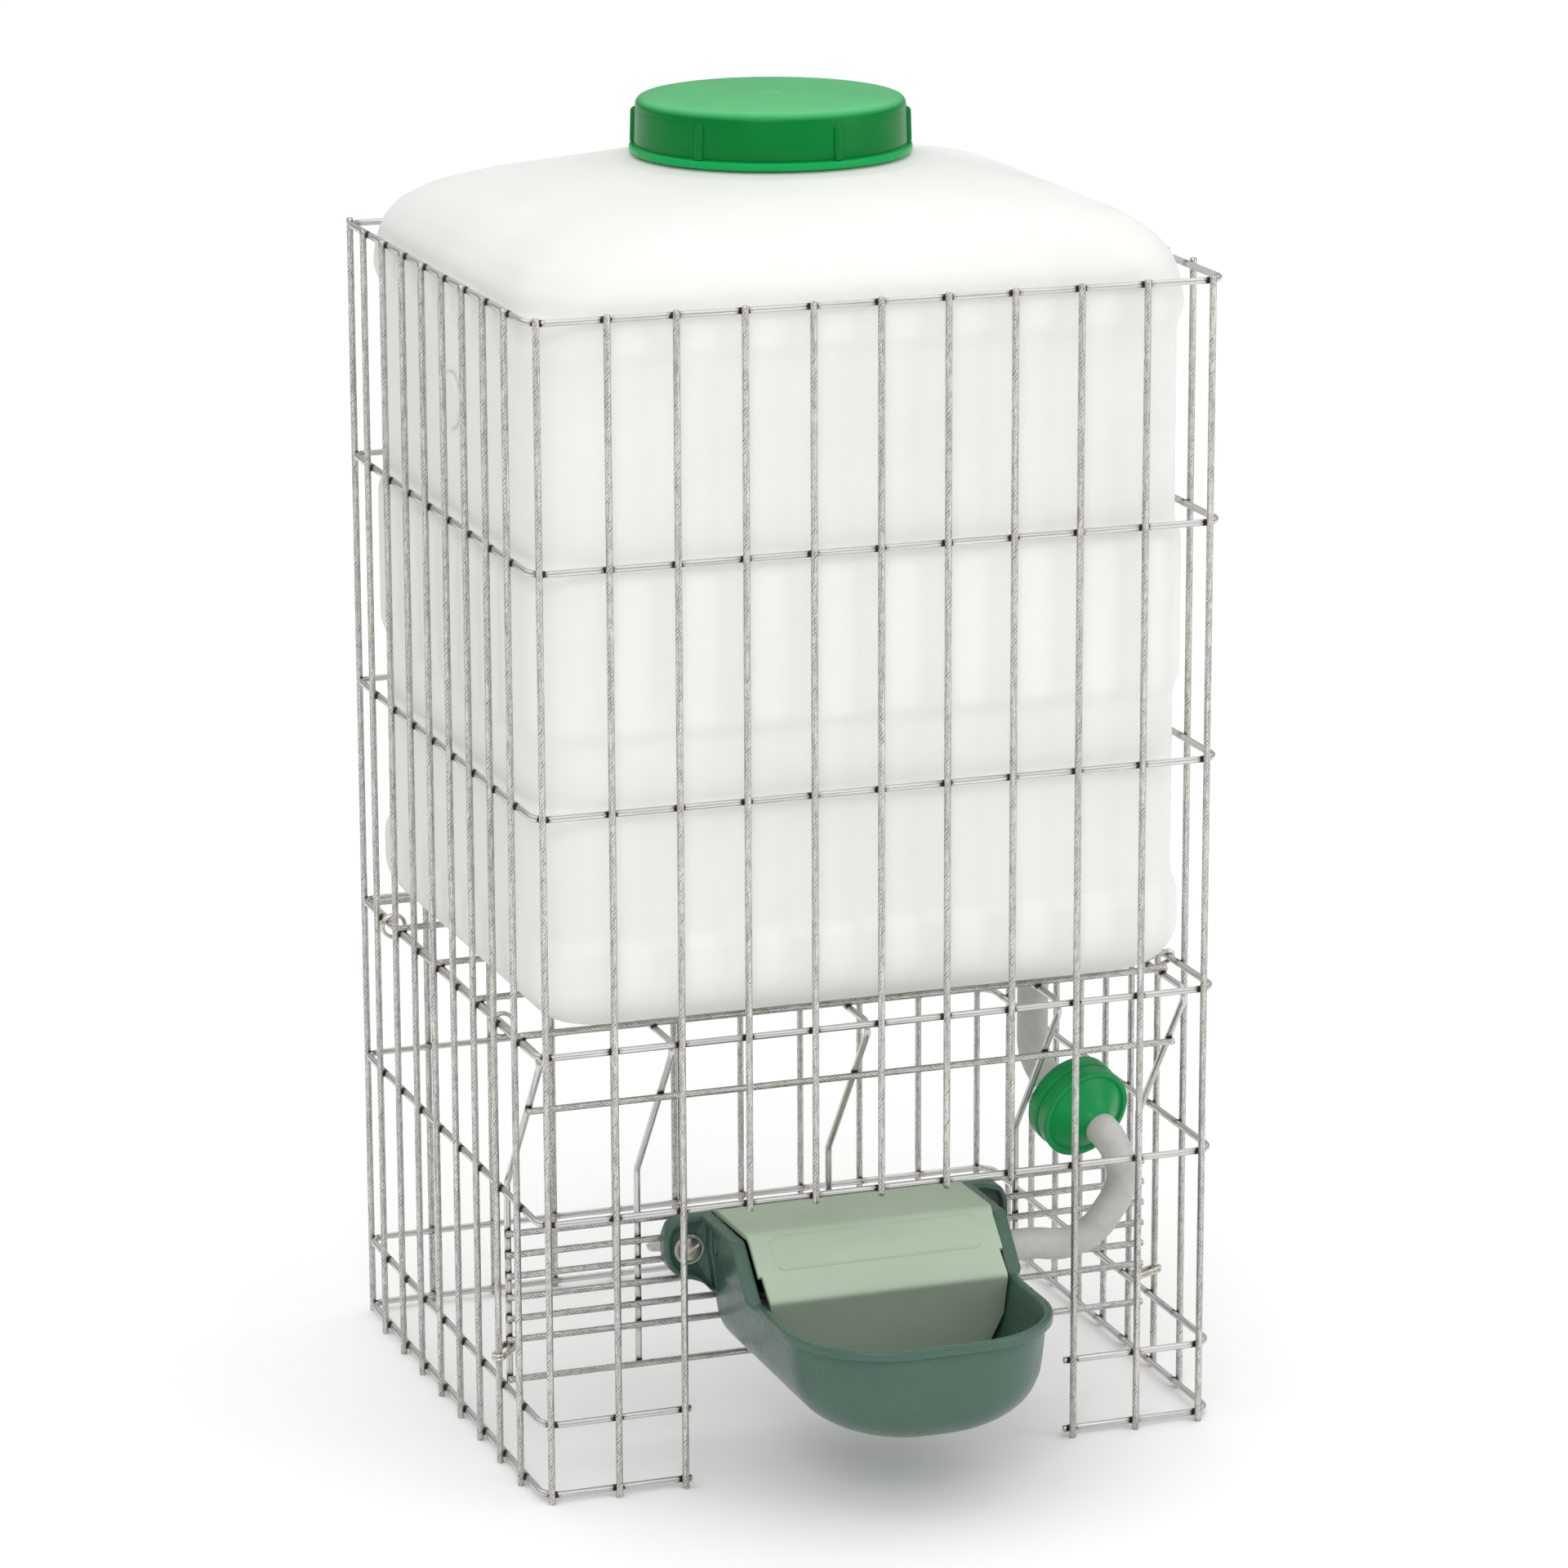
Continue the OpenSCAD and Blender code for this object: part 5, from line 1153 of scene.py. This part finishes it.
        def walled(outline_rows, heights, taper):
            """Outer rows with the cheeks' plain wall behind the trough taken in by taper."""
            return level(outline_rows - np.asarray(taper, float)[:, None, None] * plain, heights)

        def inside(heights):
            """Inner wall's outline at a height of its own for each column: blended between the cheek's, the rim's and
            the trough's rings."""
            up = np.clip((heights - rim) / (cheek - rim), 0.0, 1.0)[:, None]
            down = np.clip((rim - heights) / (rim - self.TROUGH_TOP), 0.0, 1.0)[:, None]
            return inner_top[1] + up * (inner_top[0] - inner_top[1]) + down * (inner_top[2] - inner_top[1])

        lower, ledge = soften(self.OUTER, self.SOFT_STEP, self.SOFT_SPREAD), rim_size + self.LEDGE_ROWS
        pole = np.broadcast_to(self.MIDDLE, (1, *top.shape))
        taper = self.TAPER_LOW * ease(*self.TAPER_Z, lower[:, 0])
        grids = [level(pole, self.OUTER[0, 0]), walled(outline(lower, self.CORNER), lower[:, :1], taper),
                 walled(outline(ledge, self.CORNER), ledge[:, :1], self.LEDGE_TAPER)]
        slot_share = (np.array(self.SLOT_Z) - self.LEDGE) / (cheek - self.LIP_DEPTH - self.LEDGE)
        rise = np.sort(np.r_[self.RISE, slot_share])[:, None]
        outer_first = sum(len(g) for g in grids)
        heights = self.LEDGE + rise * (edge - self.LIP_DEPTH - self.LEDGE)
        taper = self.WALL_TAPER - self.WALL_LEAN * rise[:, 0]
        grids.append(walled(np.broadcast_to(top, (len(rise), *top.shape)), heights, taper))
        for drop, out, inset in self.LIP_ROWS:
            tucked = self.LIP_TAPER * (out < 0.5) * plain
            grids.append(level(top + normal * (lip * out - inset)[:, None] - tucked, edge - drop)[None])
        for drop, out in self.INNER_LIP_ROWS:
            grids.append(level(inside(edge - drop) + normal * out, edge - drop)[None])
        inner_edge = cheek - self.INNER_DROP
        fall = np.sort(np.r_[self.FALL, (inner_edge - np.array(self.SLOT_Z)) / (inner_edge - self.TROUGH_TOP)])
        inner_first = sum(len(g) for g in grids)
        for s in fall:
            heights = (edge - self.INNER_DROP) * (1 - s) + self.TROUGH_TOP * s
            grids.append(level(inside(heights), heights)[None])
        trough = soften(self.INNER, self.SOFT_STEP, self.SOFT_SPREAD)
        grids += [level(outline(trough, self.CORNER_IN), trough[:, :1]), level(pole, self.INNER[-1, 0])]
        grid = np.concatenate(grids) + BOWL_HOME
        keep = np.ones((grid.shape[0] - 1, grid.shape[1] - 1), bool)
        rise_z = self.LEDGE + rise[:, 0] * (cheek - self.LIP_DEPTH - self.LEDGE)
        fall_z = inner_edge * (1 - fall) + self.TROUGH_TOP * fall
        row_out = outer_first + int(np.flatnonzero(np.isclose(rise_z, self.SLOT_Z[0], atol=SAME))[0])
        row_in = inner_first + int(np.flatnonzero(np.isclose(fall_z, self.SLOT_Z[1], atol=SAME))[0])
        skin = PieceSkin()
        columns = np.flatnonzero(np.isclose(d, self.SLOT_D, atol=SAME) & (np.abs(top[:, 0]) > half - SAME))
        for column in columns:
            c0, c1 = (column, column + 1) if top[column, 0] < 0 else (column - 1, column)
            keep[row_out, c0] = keep[row_in:row_in + 2, c0] = False
            outside_loop = grid[[row_out, row_out, row_out + 1, row_out + 1, row_out], [c0, c1, c1, c0, c0]]
            inside_loop = grid[[row_in + 2, row_in + 2, row_in, row_in, row_in + 2], [c0, c1, c1, c0, c0]]
            skin.add(np.stack([outside_loop, inside_loop]))
        skin.add(grid, keep)
        for hand in (-1, 1):
            skin.add(self.ear(hand) + BOWL_HOME + hand * (half + self.BOLT_OUT) * X_AXIS + BOLT_Z * Z_AXIS)
        skin.add(turned(self.BOSS + [0.0, half], self.BOSS_SIDES, BOWL_HOME + self.BOSS_PLACE, X_AXIS, Z_AXIS))
        finish = moulded_finish("bowl_plastic", tuple(context.scene.fount_finish.bowl), rough=0.28, grain_size=1300.0,
                                depth=0.000012, streak=0.05, Specular_IOR_Level=0.42)
        skin.build("bowl_trough", "base", finish, ["bowl"], sharp=38.0)
        return {"FINISHED"}

    def ear(self, hand):
        """Ear of one side, from the bolt's place on the back plane: the softened outline, closed by a run inside the
        wall, carried over the rows of (inset, reach), with a pole in the middle of each face."""
        line = soften(self.EAR, self.EAR_STEP, self.EAR_SPREAD)
        line = np.concatenate([line, straight(line[-1], line[0], self.EAR_CLOSE)[1:]])
        inset, reach = np.array(self.EAR_ROWS).T
        flat = line - inset[:, None, None] * unit(line)
        flat = np.concatenate([np.zeros((1, *line.shape)), flat, np.zeros((1, *line.shape))])
        reach = np.broadcast_to(np.r_[0.0, reach, reach[-1]][:, None], flat.shape[:2])
        return np.stack([hand * flat[..., 0], -reach, flat[..., 1]], -1)


class FOUNT_OT_cover(bpy.types.Operator):
    """Cover of the bowl: top, slope with a bare raised field, shield, clip tabs and gate mark"""

    bl_idname = "fount.cover"
    bl_label = "Bowl cover"

    PROFILE = [(0.0, -4.0, 103.5), (0.0, -47.0, 104.2), (0.0, -63.0, 88.9), (0.0, -71.0, 82.6), (0.0, -71.0, 49.0)]
    BENDS, SPACING = [2.2, 10.0, 2.6], 0.6
    COLUMNS = np.linspace(-50.0, 50.0, 29)
    HALF, NOTCH, NOTCH_D = 56.2, 1.6, 61.5  # half width, how far each side steps in, and where
    STEP_SHARE = 0.02  # of a row's spacing, over which the sides step in
    FLARE, FLARE_D = 0.8, (44.0, 50.0)  # the top is this much wider, up to where it turns down
    SHIELD = [(49.0, 44.0), (66.0, 52.7), (82.0, 54.6), (82.1, 60.0)]  # height, half width
    FIELD_HALF, FIELD_ENDS, FIELD_EDGE, FIELD_RISE = 47.2, (48.3, 59.8), 4.0, 0.6  # half width, ends, corners, rise
    FIELD_FADE, FIELD_COLUMNS = (-0.9, 0.1), np.linspace(-4.6, 1.2, 18)  # both counted from its outline
    SHADE_Z, SHADE = (0.084, 0.0815), 0.62  # heights in metres over which the shield turns darker, and by what factor: painted shade under the slope
    TABS = (  # way out of the side, way in front of the back plane, height over the bolt
        ((-2.0, 0.0), (-13.0, -4.5), (-1.0, 15.15)),
        ((-1.0, 0.5), (-12.6, -9.4), (-0.8, 4.2)),
    )
    TAB_EDGE = 0.4
    GATE = [(0.0, 0.35), (0.5, 0.3), (0.8, 0.1), (1.6, 0.0), (1.6, -0.8), (0.0, -0.8)]  # radius, height
    GATE_PLACE, GATE_SIDES = (1.0, -40.0, 104.08), 14
    SOFT_WIDTH, SOFT_SEGMENTS, SOFT_ANGLE = 0.0004, 2, 50.0  # bevel of the edges, in metres and degrees

    def execute(self, context):
        sizes, tone = context.scene.fount_water, tuple(context.scene.fount_finish.cover)
        path = bent_path(self.PROFILE, self.BENDS, self.SPACING)
        split = int(np.flatnonzero(path[:, 1] <= -self.NOTCH_D)[0])
        step = path[split - 1:split]
        path = np.concatenate([path[:split], step + (path[split] - step) * self.STEP_SHARE, path[split:]])
        along = run_length(path)
        tangent = unit(np.gradient(path, along, axis=0))
        normal = np.cross(tangent, X_AXIS)
        flared = self.HALF + self.FLARE * (1.0 - ease(*self.FLARE_D, -path[:, 1]))
        half = np.where(np.arange(len(path)) < split, flared, self.HALF - self.NOTCH)
        half = np.minimum(half, np.interp(path[:, 2], *np.array(self.SHIELD).T))
        fine = self.FIELD_HALF + self.FIELD_COLUMNS
        across = np.unique(np.r_[self.COLUMNS, -fine, fine])
        across = np.r_[-1.0, across / self.HALF, 1.0]
        x = across[None] * half[:, None]
        start, end = np.interp(self.FIELD_ENDS, -path[:split, 1], along[:split])
        middle, tall = (start + end) / 2, (end - start) / 2
        past_side = np.abs(x) - self.FIELD_HALF + self.FIELD_EDGE
        past_end = np.abs(along - middle)[:, None] - tall + self.FIELD_EDGE
        edge = np.stack(np.broadcast_arrays(past_side, past_end), -1)
        outside = np.linalg.norm(np.maximum(edge, 0.0), axis=-1) + np.minimum(edge.max(-1), 0.0) - self.FIELD_EDGE
        lift = self.FIELD_RISE * (1.0 - ease(*self.FIELD_FADE, outside))
        grid = x[..., None] * X_AXIS + path[:, None] + lift[..., None] * normal[:, None]
        skin = PieceSkin()
        skin.add((grid + BOWL_HOME)[:, ::-1])
        # the shield's lower part is painted darker: painted shade
        finish = moulded_finish("cover_plastic", tone, rough=0.38, grain_size=1300.0, depth=0.00002, streak=0.04,
                                painted_light_bands=[(*self.SHADE_Z, shade(tone, self.SHADE))], Specular_IOR_Level=0.3)
        cover = skin.build("bowl_lid", "base", finish, ["bowl_cover"], sharp=40.0, closed=False)
        wall = cover.modifiers.new("wall", "SOLIDIFY")
        wall.thickness, wall.offset, wall.use_even_offset = sizes.cover_wall, -1.0, True
        soft = cover.modifiers.new("soft_edges", "BEVEL")
        soft.width, soft.segments = self.SOFT_WIDTH, self.SOFT_SEGMENTS
        soft.limit_method, soft.angle_limit = "ANGLE", math.radians(self.SOFT_ANGLE)
        tabs = PieceSkin()
        for hand in (-1, 1):
            for out, y, up in self.TABS:
                sides = sorted(hand * (self.HALF + v) for v in out)
                low, high = np.stack([sides, y, np.add(up, BOLT_Z)], -1)
                tabs.add(block(low, high, self.TAB_EDGE) + BOWL_HOME)
        tabs.add(turned(self.GATE, self.GATE_SIDES, BOWL_HOME + self.GATE_PLACE))
        tabs.build("bowl_lid_tabs", "base", finish, sharp=40.0)
        return {"FINISHED"}


class FOUNT_OT_carried(bpy.types.Operator):
    """Finishes for the CAD parts that are shown as they are"""

    bl_idname = "fount.carried"
    bl_label = "Fasteners, valve and small parts"

    ZINC = ("fastener_zinc", (0.68, 0.67, 0.63), 0.3)  # name, colour, roughness
    RUBBER = ("seal_rubber", (0.02, 0.02, 0.021), 0.6)
    PLASTICS = (  # name, colour, roughness, depth of the grain, streak
        ("valve_acetal", (0.78, 0.78, 0.74), 0.35, 0.00008, 0.03),
        ("outlet_nylon", (0.09, 0.09, 0.095), 0.42, 0.0001, 0.06),
        ("float_lever", (0.42, 0.5, 0.55), 0.38, 0.00008, 0.04),
    )

    def execute(self, context):
        zinc, black = plated_finish(*self.ZINC), rubber_finish(*self.RUBBER)
        white, grey, lever = (
            moulded_finish(name, base, rough=rough, grain_size=900.0, depth=depth, streak=streak)
            for name, base, rough, depth, streak in self.PLASTICS)
        groups = {
            zinc: ("bolts", "washers_front", "washers_rear", "wing_nut_left", "wing_nut_right", "pivot_pin"),
            black: ("tank_outlet_seal", "cap_gasket", "filter_seal", "valve_seal"),
            white: ("valve_body", "valve_nut"),
            grey: ("tank_outlet", "tank_outlet_nut"),
            lever: ("valve_plunger", "float_arm"),
            mesh_finish(): ("filter_screen",),
            foam_finish(): ("float_block",),
        }
        for finish, nodes in groups.items():
            for node in nodes:
                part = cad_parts[node]
                part.data.materials.clear()
                part.data.materials.append(finish)
        return {"FINISHED"}


OPERATORS = (
    FOUNT_OT_stage, FOUNT_OT_cage, FOUNT_OT_panel, FOUNT_OT_clips, FOUNT_OT_tank, FOUNT_OT_cap, FOUNT_OT_hoses,
    FOUNT_OT_filter, FOUNT_OT_bowl, FOUNT_OT_cover, FOUNT_OT_carried)
GROUPS = {"fount_cage": CageSizes, "fount_tank": TankSizes, "fount_water": WaterSizes, "fount_finish": FinishColours}


class FOUNT_PT_panel(bpy.types.Panel):
    """Lists the pieces of the fount and their sizes"""

    bl_idname = "FOUNT_PT_panel"
    bl_label = "Poultry waterer fount"
    bl_space_type = "VIEW_3D"
    bl_region_type = "UI"
    bl_category = "Fount"

    def draw(self, context):
        for operator in OPERATORS:
            self.layout.operator(operator.bl_idname)
        for name, group in GROUPS.items():
            box = self.layout.box()
            for key in group.__annotations__:
                box.prop(getattr(context.scene, name), key)


CLASSES = (*GROUPS.values(), *OPERATORS, FOUNT_PT_panel)


def register():
    """Makes the classes and the scene's groups known."""
    for made in CLASSES:
        bpy.utils.register_class(made)
    for name, group in GROUPS.items():
        setattr(bpy.types.Scene, name, bpy.props.PointerProperty(type=group))


def unregister():
    """Takes them away again, in reverse."""
    for name in GROUPS:
        delattr(bpy.types.Scene, name)
    for made in reversed(CLASSES):
        bpy.utils.unregister_class(made)


def main():
    """Builds the stage and every piece in order."""
    register()
    bpy.ops.fount.stage()
    bpy.ops.fount.cage()
    bpy.ops.fount.panel()
    bpy.ops.fount.clips()
    bpy.ops.fount.tank()
    bpy.ops.fount.cap()
    bpy.ops.fount.hoses()
    bpy.ops.fount.filter()
    bpy.ops.fount.bowl()
    bpy.ops.fount.cover()
    bpy.ops.fount.carried()


if __name__ == "__main__":
    main()
